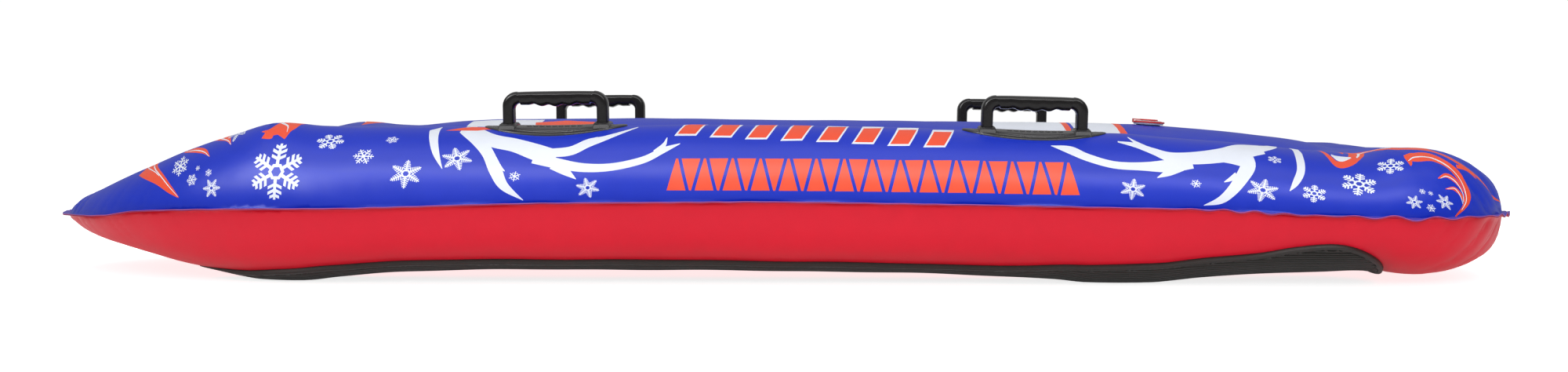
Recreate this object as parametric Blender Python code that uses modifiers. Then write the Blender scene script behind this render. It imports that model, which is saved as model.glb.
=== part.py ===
"""Inflatable two-rider snow sled.

Metres, +Z up. The sled points along -X and lies on the ground at z = 0, under the middle of its outline.
Two sheets are welded round a seam half way up. Webs inside shape two side tubes, a centre chamber,
a two-lobed nose and a tail bolster. Runner pads, four handles and an inflation valve are fixed to it.
"""
import math

import bmesh
import bpy
from mathutils import Matrix, Vector

# ---------------------------------------------------------------- driving sizes (metres)
OBJECT_NAME = "snow_sled"
GAP = 0.0003                    # clearance between pieces that touch
WELD_DISTANCE = 0.00001         # points this close are one point

HULL_LENGTH = 1.8525            # seam to seam along X
HULL_WIDTH = 0.680              # seam to seam across Y
HULL_HEIGHT = 0.193             # highest crest of the side tubes
SHEET = 0.0008                  # thickness of a welded sheet
FLANGE_WIDTH = 0.009            # weld flange outside the seam
TUBE_SHARE = 0.6765             # crest of a side tube, as a share of the half width
BEAM_SHARE = 0.4118             # long web, likewise
BEAM_DIP = 0.015                # how far a long web pulls the sheets in
CENTRE_LIFT = 0.012             # underside of the centre chamber above the side tubes' underside
NOSE_TAPER_START = -0.479       # the outline narrows ahead of here
NOSE_ROUNDNESS = 0.62
TAIL_TAPER_START = 0.641        # and behind here
TAIL_SQUARENESS = 4
TAIL_ROUNDNESS = 0.45
BEAM_FRONT_X = -0.429           # ends of the long webs
BEAM_REAR_X = 0.671
BEAM_FADE = 0.080               # length over which a web's dip dies away
SEAM_LIFT_FADE = 0.010          # height over which the two sheets part to make room for the weld
WEB_THICKNESS = 0.0010
NOSE_WEB_FRONT_X = -0.859
NOSE_WEB_REAR_X = -0.539
TAIL_WEB_X = 0.745
TAIL_WEB_SHARE = 0.765          # as a share of the hull's width

RUNNER_FRONT_X = -0.696
RUNNER_REAR_X = 0.744
RUNNER_THICKNESS = 0.0055
RUNNER_END_ROUND = 0.090        # length of the rounded rear end
RUNNER_END_SQUARENESS = 2.4

HANDLE_FRONT_X = -0.249
HANDLE_REAR_X = 0.328
HANDLE_SHARE = 0.050            # how far a handle sits from a tube's crest towards the seam
GRIP_LENGTH = 0.128             # outside the posts
GRIP_HEIGHT = 0.0408            # above the base plate
GRIP_POST = 0.0142              # post width along X
GRIP_BAR = 0.0135               # bar thickness at its ends
GRIP_BOW = 0.0022               # the bar is this much thicker at its middle
GRIP_WIDTH = 0.026              # across Y
GRIP_CORNER = 0.017             # outer corner radius
GRIP_EDGE = 0.0045              # rounding of the long edges
FINGER_COUNT = 4
FINGER_PITCH = 0.0173
FINGER_DEPTH = 0.0021
PLATE_LENGTH = 0.173
PLATE_WIDTH = 0.088
PLATE_RIM = 0.0020              # height of the rim above the sheet
PLATE_FIELD = 0.0032            # height of the raised field
PLATE_RIM_SHARE = 0.80          # where the field ends
PLATE_SLOPE_SHARE = 0.035       # run of the sloping edges of rim and field
PLATE_EDGE = 0.0010             # height of the rim's sloping edge
COLLAR_WALL = 0.0018            # round a post
COLLAR_HEIGHT = 0.0042
COLLAR_WIDTH = 0.060            # across Y
COLLAR_FALL = 0.0048            # its arch falls this far to its sides
COLLAR_END_FALL = 0.0040        # and this much more at its very ends
COLLAR_END_SHARE = 0.80         # where the ends begin
POCKET_DEPTH = 0.0055
BASE_ROOT = 0.0300              # how deep a base reaches before it is cut to the hull

VALVE_X = 0.502
VALVE_COLLAR_RADIUS = 0.0195
VALVE_COLLAR_HEIGHT = 0.0058
VALVE_COLLAR_SIDE = 0.0032      # height of its straight side
VALVE_COLLAR_SLOPE = 0.0025     # run of the slope above that
VALVE_COLLAR_EDGE = 0.0010      # run of the last, flat slope
VALVE_HOLE_REACH = 0.020        # of the hole's cutter, above and below the sheet
VALVE_BORE = 0.0100             # radius
VALVE_TUBE_WALL = 0.0028
VALVE_TUBE_DEPTH = 0.0110
NECK_WALL = 0.0024
NECK_HEIGHT = 0.0022
WELD_RING_RADIUS = 0.0290
WELD_RING_THICKNESS = 0.0012
WELD_RING_DROP = 0.0030         # room under the sheet for its flat facets
FLAP_THICKNESS = 0.0010
FLAP_LUG_RADIUS = 0.0008
PLUG_TAPER = 0.0011             # the shank is this much smaller at its foot
PLUG_DEPTH = 0.0055
PLUG_CAP_THICKNESS = 0.0016
PLUG_CAP_LIP = 0.0022           # the cap overhangs the bore by this much
PLUG_EDGE = 0.0006
PLUG_DISH_DEPTH = 0.0010
PLUG_DISH_INSET = 0.0030        # the dish ends this far inside the shank
PLUG_TAB_GAP = 0.0014           # from the hinge line to the tab
PLUG_TAB_LAP = 0.0020           # of the tab into the cap
TETHER_WIDTH = 0.0070
TETHER_THICKNESS = 0.0012
TETHER_TOP = 0.0050
TETHER_BAND = 0.0023            # height of the band round the collar
STRAP_INSET = 0.0001

# ---------------------------------------------------------------- profiles along the hull
# (share of the half length from the middle, share of HULL_HEIGHT)
SEAM_LINE = ((-1.000, 0.368), (-0.981, 0.370), (-0.949, 0.385), (-0.906, 0.393), (-0.862, 0.408),
             (-0.819, 0.439), (-0.733, 0.461), (-0.646, 0.473), (-0.517, 0.481), (-0.301, 0.510),
             (-0.085, 0.520), (0.023, 0.522), (0.239, 0.508), (0.455, 0.489), (0.563, 0.478),
             (0.671, 0.449), (0.779, 0.433), (0.833, 0.424), (0.887, 0.430), (0.960, 0.427),
             (1.000, 0.415))
SIDE_CREST = ((-1.000, 0.368), (-0.994, 0.394), (-0.983, 0.422), (-0.970, 0.456), (-0.957, 0.487),
              (-0.927, 0.537), (-0.895, 0.593), (-0.862, 0.652), (-0.819, 0.726), (-0.776, 0.808),
              (-0.733, 0.877), (-0.690, 0.935), (-0.659, 0.979), (-0.638, 0.996), (-0.614, 0.992),
              (-0.587, 0.977), (-0.538, 0.970), (-0.484, 0.973), (-0.382, 0.969), (-0.269, 0.965),
              (-0.161, 0.979), (0.023, 0.981), (0.249, 0.955), (0.354, 0.932), (0.469, 0.927),
              (0.511, 0.913), (0.644, 0.860), (0.694, 0.832), (0.741, 0.813), (0.779, 0.803),
              (0.794, 0.819), (0.811, 0.841), (0.835, 0.842), (0.861, 0.838), (0.887, 0.816),
              (0.908, 0.785), (0.930, 0.744), (0.951, 0.691), (0.968, 0.642), (0.984, 0.570),
              (0.994, 0.497), (1.000, 0.415))
CENTRE_CREST = ((-1.000, 0.368), (-0.994, 0.389), (-0.983, 0.412), (-0.957, 0.466), (-0.927, 0.513),
                (-0.895, 0.565), (-0.862, 0.619), (-0.819, 0.689), (-0.776, 0.762), (-0.733, 0.829),
                (-0.668, 0.896), (-0.603, 0.933), (-0.538, 0.956), (-0.474, 0.984), (-0.426, 1.005),
                (-0.370, 1.015), (-0.179, 1.021), (0.035, 1.010), (0.266, 1.000), (0.506, 0.984),
                (0.583, 0.961), (0.645, 0.935), (0.696, 0.907), (0.752, 0.870), (0.779, 0.839),
                (0.808, 0.801), (0.827, 0.785), (0.849, 0.790), (0.876, 0.811), (0.902, 0.819),
                (0.930, 0.795), (0.951, 0.756), (0.969, 0.694), (0.984, 0.596), (0.994, 0.508),
                (1.000, 0.415))
SIDE_KEEL = ((-1.000, 0.368), (-0.992, 0.355), (-0.979, 0.334), (-0.957, 0.298), (-0.927, 0.251),
             (-0.895, 0.219), (-0.862, 0.187), (-0.819, 0.141), (-0.776, 0.098), (-0.733, 0.070),
             (-0.690, 0.044), (-0.659, 0.028), (-0.603, 0.024), (-0.555, 0.050), (-0.464, 0.085),
             (-0.300, 0.098), (0.028, 0.091), (0.233, 0.075), (0.381, 0.044), (0.427, 0.023),
             (0.503, 0.022), (0.569, 0.058), (0.648, 0.080), (0.725, 0.093), (0.783, 0.098),
             (0.809, 0.070), (0.833, 0.056), (0.860, 0.051), (0.887, 0.063), (0.908, 0.083),
             (0.930, 0.111), (0.951, 0.145), (0.969, 0.187), (0.984, 0.249), (0.994, 0.321),
             (1.000, 0.415))
# (share of the runner's length, its half width as a share of the reach from a tube's crest to the seam)
RUNNER_EDGE = ((0.0, 0.08), (0.011, 0.22), (0.042, 0.36), (0.080, 0.49), (0.115, 0.54), (0.180, 0.53),
               (0.290, 0.51), (0.429, 0.50), (0.568, 0.48), (0.637, 0.48), (0.696, 0.53), (0.759, 0.645),
               (0.790, 0.68), (0.821, 0.69), (0.884, 0.755), (0.915, 0.835), (0.946, 0.875), (1.0, 0.88))

# ---------------------------------------------------------------- values that follow from them
HALF_LENGTH = HULL_LENGTH / 2
HALF_WIDTH = HULL_WIDTH / 2
TUBE_Y = TUBE_SHARE * HALF_WIDTH
BEAM_Y = BEAM_SHARE * HALF_WIDTH
SEAM_HALF = SHEET + GAP / 2
VALVE_TUBE_RADIUS = VALVE_BORE + VALVE_TUBE_WALL
NECK_INSIDE = VALVE_TUBE_RADIUS + GAP
NECK_RADIUS = NECK_INSIDE + NECK_WALL

# ---------------------------------------------------------------- mesh fineness
HULL_ROWS = 40
ROW_BUNCHING = 1.7              # rows crowd towards the tips
TUBE_ANGLES = (90, 66, 42, 20)  # degrees round the outer side of a tube
INNER_STEPS = 2                 # columns between crest, web and middle
RUNNER_ROWS = 36
RUNNER_BUNCHING = 0.6           # share of the rows that crowd towards the ends
RUNNER_COLUMNS = 8
PLATE_SEGMENTS = 32
TURN_STEPS = 24
CORNER_STEPS = 5
FINGER_STEPS = 4

COLOURS = {
    "blue_sheet": ((0.040, 0.060, 0.560), 0.32, 0.0),
    "red_sheet": ((0.690, 0.020, 0.040), 0.32, 0.0),
    "runner": ((0.028, 0.025, 0.022), 0.55, 0.0),
    "plate": ((0.060, 0.058, 0.056), 0.40, 0.0),
    "grip": ((0.018, 0.016, 0.016), 0.30, 0.0),
    "web": ((0.080, 0.090, 0.450), 0.50, 0.0),
    "valve_clear": ((0.620, 0.680, 0.700), 0.25, 0.0),
    "valve_weld": ((0.100, 0.105, 0.110), 0.45, 0.0),
    "valve_red": ((0.750, 0.040, 0.030), 0.35, 0.0),
}


# ---------------------------------------------------------------- scene helpers
def clear_scene():
    for obj in list(bpy.data.objects):
        bpy.data.objects.remove(obj, do_unlink=True)


def new_collection(name):
    collection = bpy.data.collections.new(name)
    bpy.context.scene.collection.children.link(collection)
    return collection


def material(name):
    colour, roughness, metallic = COLOURS[name]
    found = bpy.data.materials.get(name)
    if found:
        return found
    made = bpy.data.materials.new(name)
    made.use_nodes = True
    shader = made.node_tree.nodes["Principled BSDF"]
    shader.inputs["Base Color"].default_value = (*colour, 1.0)
    shader.inputs["Roughness"].default_value = roughness
    shader.inputs["Metallic"].default_value = metallic
    return made


def add_part(name, mesh, finish, parent=None):
    obj = bpy.data.objects.new(name, mesh)
    parts.objects.link(obj)
    mesh.materials.clear()
    mesh.materials.append(material(finish))
    obj.parent = parent
    return obj


def add_cutter(name, mesh, parent=None):
    obj = bpy.data.objects.new(name, mesh)
    cutters.objects.link(obj)
    obj.hide_render = True
    obj.display_type = "WIRE"
    obj.parent = parent
    return obj


def boolean(obj, operation, cutter):
    modifier = obj.modifiers.new(operation.lower() + "_" + cutter.name, "BOOLEAN")
    modifier.operation = operation
    modifier.solver = "EXACT"
    modifier.object = cutter


def round_shading(obj, angle=35):
    obj.data.shade_smooth()
    obj.data.set_sharp_from_angle(angle=math.radians(angle))


def mesh_from_faces(name, points, faces):
    mesh = bpy.data.meshes.new(name)
    mesh.from_pydata([tuple(point) for point in points], [], faces)
    work = bmesh.new()
    work.from_mesh(mesh)
    bmesh.ops.recalc_face_normals(work, faces=work.faces)
    work.to_mesh(mesh)
    work.free()
    return mesh


def box_mesh(name, low, high):
    work = bmesh.new()
    bmesh.ops.create_cube(work, size=1.0)
    low = Vector(low)
    high = Vector(high)
    bmesh.ops.scale(work, vec=high - low, verts=work.verts)
    bmesh.ops.translate(work, vec=(low + high) / 2, verts=work.verts)
    mesh = bpy.data.meshes.new(name)
    work.to_mesh(mesh)
    work.free()
    return mesh


def cylinder_mesh(name, radius, low, high, sides=TURN_STEPS):
    work = bmesh.new()
    bmesh.ops.create_cone(work, cap_ends=True, segments=sides, radius1=radius, radius2=radius, depth=high - low)
    bmesh.ops.translate(work, vec=(0, 0, (low + high) / 2), verts=work.verts)
    mesh = bpy.data.meshes.new(name)
    work.to_mesh(mesh)
    work.free()
    return mesh


def evaluated_mesh(name, holder):
    """The mesh that an object's curve settings or modifiers make, welded and facing out. The object goes."""
    cutters.objects.link(holder)
    bpy.context.view_layer.update()
    evaluated = holder.evaluated_get(bpy.context.evaluated_depsgraph_get())
    mesh = bpy.data.meshes.new_from_object(evaluated)
    work = bmesh.new()
    work.from_mesh(mesh)
    bmesh.ops.remove_doubles(work, verts=work.verts, dist=WELD_DISTANCE)
    bmesh.ops.recalc_face_normals(work, faces=work.faces)
    work.to_mesh(mesh)
    work.free()
    bpy.data.objects.remove(holder, do_unlink=True)
    mesh.name = name
    return mesh


def turned_mesh(name, profile):
    """A (radius, height) loop turned round Z. It is closed, or starts and ends on the axis."""
    wire = bpy.data.meshes.new(name)
    points = [(radius, 0.0, height) for radius, height in profile]
    edges = [(index, index + 1) for index in range(len(points) - 1)]
    if profile[0][0] > 0.0:
        edges.append((len(points) - 1, 0))
    wire.from_pydata(points, edges, [])
    holder = bpy.data.objects.new(name, wire)
    screw = holder.modifiers.new("turn", "SCREW")
    screw.steps = TURN_STEPS
    screw.render_steps = TURN_STEPS
    screw.use_merge_vertices = True
    screw.merge_threshold = WELD_DISTANCE
    return evaluated_mesh(name, holder)


def outline_mesh(name, outline, half_thickness):
    """A flat outline (a 2D curve, filled) extruded to both sides, turned so that it stands in the XZ plane."""
    curve = bpy.data.curves.new(name, "CURVE")
    curve.dimensions = "2D"
    curve.fill_mode = "BOTH"
    curve.extrude = half_thickness
    spline = curve.splines.new("POLY")
    spline.points.add(len(outline) - 1)
    for point, (across, up) in zip(spline.points, outline):
        point.co = (across, up, 0.0, 1.0)
    spline.use_cyclic_u = True
    mesh = evaluated_mesh(name, bpy.data.objects.new(name, curve))
    mesh.transform(Matrix.Rotation(math.pi / 2, 4, "X"))
    return mesh


# ---------------------------------------------------------------- the inflated surface
def through(stations, share):
    """Smooth curve through (share, value) stations."""
    share = min(max(share, stations[0][0]), stations[-1][0])
    last = len(stations) - 2
    index = 0
    while index < last and share > stations[index + 1][0]:
        index += 1
    x0, y0 = stations[index]
    x1, y1 = stations[index + 1]
    xa, ya = stations[max(index - 1, 0)]
    xb, yb = stations[min(index + 2, last + 1)]
    span = x1 - x0
    slope0 = (y1 - ya) / (x1 - xa)
    slope1 = (yb - y0) / (xb - x0)
    t = (share - x0) / span
    return (y0 * (2 * t ** 3 - 3 * t ** 2 + 1) + y1 * (3 * t ** 2 - 2 * t ** 3)
            + span * slope0 * (t ** 3 - 2 * t ** 2 + t) + span * slope1 * (t ** 3 - t ** 2))


def smooth(value):
    value = min(max(value, 0.0), 1.0)
    return value * value * (3 - 2 * value)


def half_width(x):
    if x < NOSE_TAPER_START:
        run = (NOSE_TAPER_START - x) / (NOSE_TAPER_START + HALF_LENGTH)
        return HALF_WIDTH * max(1 - run ** 2, 0.0) ** NOSE_ROUNDNESS
    if x > TAIL_TAPER_START:
        run = (x - TAIL_TAPER_START) / (HALF_LENGTH - TAIL_TAPER_START)
        return HALF_WIDTH * max(1 - run ** TAIL_SQUARENESS, 0.0) ** TAIL_ROUNDNESS
    return HALF_WIDTH


def seam_height(x):
    return HULL_HEIGHT * through(SEAM_LINE, x / HALF_LENGTH)


def beam_dip(x):
    front = smooth((x - BEAM_FRONT_X) / BEAM_FADE + 0.5)
    rear = smooth((BEAM_REAR_X - x) / BEAM_FADE + 0.5)
    return BEAM_DIP * front * rear


def web_pull(share):
    """1 at a long web, falling to 0 at the crests on both sides of it."""
    share = abs(share)
    reach = BEAM_SHARE if share < BEAM_SHARE else TUBE_SHARE - BEAM_SHARE
    return max(1 - abs(share - BEAM_SHARE) / reach, 0.0) ** 2


def section(x, share, side, middle):
    """Height over a cross-section: a round outer flank, a crest, and a blend to the middle."""
    share = abs(share)
    seam = seam_height(x)
    if share >= TUBE_SHARE:
        flank = (share - TUBE_SHARE) / (1 - TUBE_SHARE)
        return seam + (side - seam) * math.sqrt(max(1 - flank * flank, 0.0))
    return middle + (side - middle) * smooth(share / TUBE_SHARE)


def top_height(x, share):
    side = HULL_HEIGHT * through(SIDE_CREST, x / HALF_LENGTH)
    middle = HULL_HEIGHT * through(CENTRE_CREST, x / HALF_LENGTH)
    return section(x, share, side, middle) - beam_dip(x) * web_pull(share)


def keel_height(x, share):
    side = HULL_HEIGHT * through(SIDE_KEEL, x / HALF_LENGTH)
    lift = CENTRE_LIFT * half_width(x) / HALF_WIDTH
    return section(x, share, side, side + lift) + beam_dip(x) * web_pull(share)


def top_at(x, y):
    return top_height(x, y / half_width(x))


def keel_point(x, y, outward):
    """A point on the underside, moved outward along the surface's own direction."""
    step = 0.001
    width = half_width(x)
    slope_x = (keel_height(x + step, y / width) - keel_height(x - step, y / width)) / (2 * step)
    slope_y = (keel_height(x, (y + step) / width) - keel_height(x, (y - step) / width)) / (2 * step)
    normal = Vector((slope_x, slope_y, -1.0)).normalized()
    return Vector((x, y, keel_height(x, y / width))) + normal * outward


def hull_rows():
    rows = []
    for index in range(1, HULL_ROWS):
        place = 2 * index / HULL_ROWS - 1
        reach = 1 - (1 - abs(place)) ** ROW_BUNCHING
        rows.append(math.copysign(reach, place) * HALF_LENGTH)
    return rows


def hull_columns():
    """Shares of the half width, from the near seam to the far one."""
    near = [TUBE_SHARE + (1 - TUBE_SHARE) * math.sin(math.radians(angle)) for angle in TUBE_ANGLES]
    for step in range(INNER_STEPS):
        near.append(TUBE_SHARE + (BEAM_SHARE - TUBE_SHARE) * step / INNER_STEPS)
    for step in range(INNER_STEPS):
        near.append(BEAM_SHARE * (1 - step / INNER_STEPS))
    return [-share for share in near] + [0.0] + near[::-1]


def sheet_grid(height, lift):
    """Points and faces of one sheet up to the seam, and its seam ring in order."""
    rows = hull_rows()
    columns = hull_columns()
    across = len(columns)
    nose = Vector((-HALF_LENGTH, 0.0, seam_height(-HALF_LENGTH) + lift))
    tail = Vector((HALF_LENGTH, 0.0, seam_height(HALF_LENGTH) + lift))
    points = [nose, tail]
    for x in rows:
        for share in columns:
            on_seam = abs(share) > 1 - 1e-6
            z = seam_height(x) if on_seam else height(x, share)
            reach = abs(z - seam_height(x))
            points.append(Vector((x, share * half_width(x), z + lift * math.exp(-reach / SEAM_LIFT_FADE))))
    faces = []
    for column in range(across - 1):
        faces.append((0, 2 + column + 1, 2 + column))
        base = 2 + (len(rows) - 1) * across
        faces.append((1, base + column, base + column + 1))
    for row in range(len(rows) - 1):
        for column in range(across - 1):
            a = 2 + row * across + column
            b = a + across
            faces.append((a, a + 1, b + 1))
            faces.append((a, b + 1, b))
    near = [2 + row * across for row in range(len(rows))]
    far = [2 + row * across + across - 1 for row in range(len(rows))]
    ring = [0] + near + [1] + far[::-1]
    return points, faces, ring


def flange_ring(points, ring):
    """The seam ring moved out in plan by the flange's width."""
    outer = []
    count = len(ring)
    for index, point_index in enumerate(ring):
        before = points[ring[index - 1]]
        after = points[ring[(index + 1) % count]]
        along = Vector((after.x - before.x, after.y - before.y, 0.0)).normalized()
        outward = Vector((along.y, -along.x, 0.0))
        outer.append(points[point_index] + outward * FLANGE_WIDTH)
    return outer


def make_sheet(name, height, lift, finish):
    points, faces, ring = sheet_grid(height, lift)
    start = len(points)
    points += flange_ring(points, ring)
    count = len(ring)
    for index in range(count):
        nxt = (index + 1) % count
        faces.append((ring[index], ring[nxt], start + nxt, start + index))
    if lift < 0:
        faces = [tuple(reversed(face)) for face in faces]
    mesh = bpy.data.meshes.new(name)
    mesh.from_pydata([tuple(point) for point in points], [], faces)
    sheet = add_part(name, mesh, finish)
    top_face = mesh.polygons[len(faces) // 2].normal.z
    if top_face * lift < 0:
        mesh.flip_normals()
    solidify = sheet.modifiers.new("sheet_thickness", "SOLIDIFY")
    solidify.thickness = SHEET
    solidify.offset = -1.0
    round_shading(sheet, 50)
    return sheet


def make_envelope(name, swell):
    """The whole hull as one closed form, swollen or shrunk: what other pieces are cut to."""
    points, faces, ring = sheet_grid(top_height, 0.0)
    under, under_faces, _ = sheet_grid(keel_height, 0.0)
    shared = set(ring)
    renumber = {}
    for index, point in enumerate(under):
        if index in shared:
            renumber[index] = index
        else:
            renumber[index] = len(points)
            points.append(point)
    for face in under_faces:
        faces.append(tuple(renumber[index] for index in reversed(face)))
    envelope = add_cutter(name, mesh_from_faces(name, points, faces))
    displace = envelope.modifiers.new("swell", "DISPLACE")
    displace.mid_level = 0.0
    displace.strength = swell
    return envelope


# ---------------------------------------------------------------- webs inside the hull
def make_web(name, low, high, inside):
    web = add_part(name, box_mesh(name, low, high), "web")
    boolean(web, "INTERSECT", inside)
    return web


def make_webs(inside):
    half = WEB_THICKNESS / 2
    above = 2 * HULL_HEIGHT
    start = BEAM_FRONT_X
    end = min(BEAM_REAR_X, TAIL_WEB_X - BEAM_FADE / 2)
    for name, side in (("beam_near", -1), ("beam_far", 1)):
        middle = side * BEAM_Y
        make_web(name, (start, middle - half, -above), (end, middle + half, above), inside)
    make_web("nose_web", (NOSE_WEB_FRONT_X, -half, -above), (NOSE_WEB_REAR_X, half, above), inside)
    span = TAIL_WEB_SHARE * HALF_WIDTH
    make_web("tail_web", (TAIL_WEB_X - half, -span, -above), (TAIL_WEB_X + half, span, above), inside)


# ---------------------------------------------------------------- runner pads
def runner_half_width(x):
    share = (x - RUNNER_FRONT_X) / (RUNNER_REAR_X - RUNNER_FRONT_X)
    end = max(1 - (RUNNER_REAR_X - x) / RUNNER_END_ROUND, 0.0)
    rounding = max(1 - end ** RUNNER_END_SQUARENESS, RUNNER_EDGE[0][1]) ** (1 / RUNNER_END_SQUARENESS)
    return (HALF_WIDTH - TUBE_Y) * through(RUNNER_EDGE, share) * rounding


def make_runner(name, side, envelope):
    length = RUNNER_REAR_X - RUNNER_FRONT_X
    points = []
    for layer_outward in (RUNNER_THICKNESS + GAP, -RUNNER_THICKNESS):
        for row in range(RUNNER_ROWS + 1):
            ease = (1 - math.cos(math.pi * row / RUNNER_ROWS)) / 2
            even = row / RUNNER_ROWS
            x = RUNNER_FRONT_X + length * (even + (ease - even) * RUNNER_BUNCHING)
            crest = TUBE_SHARE * half_width(x)
            for column in range(RUNNER_COLUMNS + 1):
                offset = (2 * column / RUNNER_COLUMNS - 1) * runner_half_width(x)
                point = keel_point(x, side * (crest + offset), layer_outward)
                if layer_outward > 0:
                    point.z = max(point.z, 0.0)
                points.append(point)
    across = RUNNER_COLUMNS + 1
    layer = across * (RUNNER_ROWS + 1)
    faces = []
    for row in range(RUNNER_ROWS):
        for column in range(RUNNER_COLUMNS):
            a = row * across + column
            faces.append((a, a + 1, a + across + 1, a + across))
            faces.append((layer + a, layer + a + across, layer + a + across + 1, layer + a + 1))
    rim = [column for column in range(across)]
    rim += [row * across + across - 1 for row in range(1, RUNNER_ROWS + 1)]
    rim += [RUNNER_ROWS * across + column for column in range(across - 2, -1, -1)]
    rim += [row * across for row in range(RUNNER_ROWS - 1, 0, -1)]
    for index, a in enumerate(rim):
        b = rim[(index + 1) % len(rim)]
        faces.append((a, b, layer + b, layer + a))
    runner = add_part(name, mesh_from_faces(name, points, faces), "runner")
    boolean(runner, "DIFFERENCE", envelope)
    round_shading(runner)
    return runner


# ---------------------------------------------------------------- handles
def handle_frame(x, y, name):
    """An empty on the sheet under a handle, tipped with the tube's slopes along and across it."""
    reach = PLATE_LENGTH / 3
    pitch = math.atan2(top_at(x + reach, y) - top_at(x - reach, y), 2 * reach)
    reach = GRIP_WIDTH / 2
    roll = math.atan2(top_at(x, y + reach) - top_at(x, y - reach), 2 * reach)
    empty = bpy.data.objects.new(name, None)
    empty.location = (x, y, top_at(x, y) + PLATE_FIELD)
    empty.rotation_euler = (roll, -pitch, 0.0)
    cutters.objects.link(empty)
    return empty


def grip_outline():
    """The grip's side view: two posts, round shoulders, and a bar with finger grooves under it."""
    half = GRIP_LENGTH / 2
    foot = COLLAR_HEIGHT - POCKET_DEPTH
    outline = [(-half, foot)]
    for step in range(CORNER_STEPS + 1):
        angle = math.pi - math.pi / 2 * step / CORNER_STEPS
        outline.append((-half + GRIP_CORNER + GRIP_CORNER * math.cos(angle),
                        GRIP_HEIGHT - GRIP_CORNER + GRIP_CORNER * math.sin(angle)))
    outline += [(-across, up) for across, up in reversed(outline)]
    inner = half - GRIP_POST
    ceiling = GRIP_HEIGHT - GRIP_BAR
    inner_corner = (inner - FINGER_COUNT * FINGER_PITCH / 2) / 2
    under = []
    for step in range(CORNER_STEPS):
        angle = math.pi / 2 * step / CORNER_STEPS
        under.append((inner - inner_corner + inner_corner * math.cos(angle),
                      ceiling - inner_corner + inner_corner * math.sin(angle)))
    steps = FINGER_COUNT * FINGER_STEPS
    for step in range(steps + 1):
        place = step / FINGER_STEPS
        across = FINGER_PITCH * (FINGER_COUNT / 2 - place)
        bow = GRIP_BOW * (1 - (2 * place / FINGER_COUNT - 1) ** 2)
        under.append((across, ceiling - bow - FINGER_DEPTH * (1 + math.cos(2 * math.pi * place)) / 2))
    for step in range(CORNER_STEPS - 1, -1, -1):
        across, up = under[step]
        under.append((-across, up))
    outline.append((inner, foot))
    outline += under
    outline.append((-inner, foot))
    return outline


def collar_outline():
    """A collar's end view across the tube: a low arch over a deep foot."""
    half = COLLAR_WIDTH / 2
    outline = []
    steps = 2 * CORNER_STEPS
    for step in range(steps + 1):
        across = half * (2 * step / steps - 1)
        share = abs(across) / half
        end = max(share - COLLAR_END_SHARE, 0.0) / (1 - COLLAR_END_SHARE)
        outline.append((across, COLLAR_HEIGHT - COLLAR_FALL * share ** 2 - COLLAR_END_FALL * end))
    outline.append((half, -BASE_ROOT))
    outline.append((-half, -BASE_ROOT))
    return outline


def make_handle(label, x, side, envelope):
    y = side * (TUBE_Y + HANDLE_SHARE * (HALF_WIDTH - TUBE_Y))
    frame = handle_frame(x, y, "handle_frame_" + label)
    grip = add_part("handle_grip_" + label, outline_mesh("grip", grip_outline(), GRIP_WIDTH / 2), "grip", frame)
    edge = grip.modifiers.new("long_edges", "BEVEL")
    edge.width = GRIP_EDGE
    edge.segments = 2
    edge.limit_method = "ANGLE"
    edge.angle_limit = math.radians(60)
    round_shading(grip, 50)

    points = []
    faces = []
    levels = ((1.0, None), (1.0, PLATE_RIM - PLATE_EDGE), (1.0 - PLATE_SLOPE_SHARE, PLATE_RIM),
              (PLATE_RIM_SHARE, PLATE_RIM), (PLATE_RIM_SHARE - PLATE_SLOPE_SHARE, PLATE_FIELD))
    floor = top_at(x, y) - BASE_ROOT
    for share, lift in levels:
        for step in range(PLATE_SEGMENTS):
            angle = 2 * math.pi * step / PLATE_SEGMENTS
            px = x + share * PLATE_LENGTH / 2 * math.cos(angle)
            py = y + share * PLATE_WIDTH / 2 * math.sin(angle)
            points.append((px, py, floor if lift is None else top_at(px, py) + lift))
    points.append((x, y, top_at(x, y) + PLATE_FIELD))
    points.append((x, y, floor))
    crown = len(points) - 2
    under = len(points) - 1
    for ring in range(len(levels) - 1):
        for step in range(PLATE_SEGMENTS):
            nxt = (step + 1) % PLATE_SEGMENTS
            a = ring * PLATE_SEGMENTS
            b = a + PLATE_SEGMENTS
            faces.append((a + step, a + nxt, b + nxt, b + step))
    last = (len(levels) - 1) * PLATE_SEGMENTS
    for step in range(PLATE_SEGMENTS):
        nxt = (step + 1) % PLATE_SEGMENTS
        faces.append((last + step, last + nxt, crown))
        faces.append((nxt, step, under))
    plate = add_part("handle_base_" + label, mesh_from_faces("plate", points, faces), "plate")

    post = GRIP_LENGTH / 2 - GRIP_POST / 2
    for end in (-1, 1):
        arch = outline_mesh("collar", collar_outline(), GRIP_POST / 2 + COLLAR_WALL)
        arch.transform(Matrix.Rotation(math.pi / 2, 4, "Z"))
        collar = add_cutter("collar_" + label, arch, frame)
        collar.location = (end * post, 0.0, 0.0)
        boolean(plate, "UNION", collar)
    boolean(plate, "DIFFERENCE", envelope)
    for end in (-1, 1):
        low = (-GRIP_POST / 2 - GAP, -GRIP_WIDTH / 2 - GAP, COLLAR_HEIGHT - POCKET_DEPTH - GAP)
        high = (GRIP_POST / 2 + GAP, GRIP_WIDTH / 2 + GAP, 2 * COLLAR_HEIGHT)
        pocket = add_cutter("pocket_" + label, box_mesh("pocket", low, high), frame)
        pocket.location = (end * post, 0.0, 0.0)
        boolean(plate, "DIFFERENCE", pocket)
    round_shading(plate)


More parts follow.
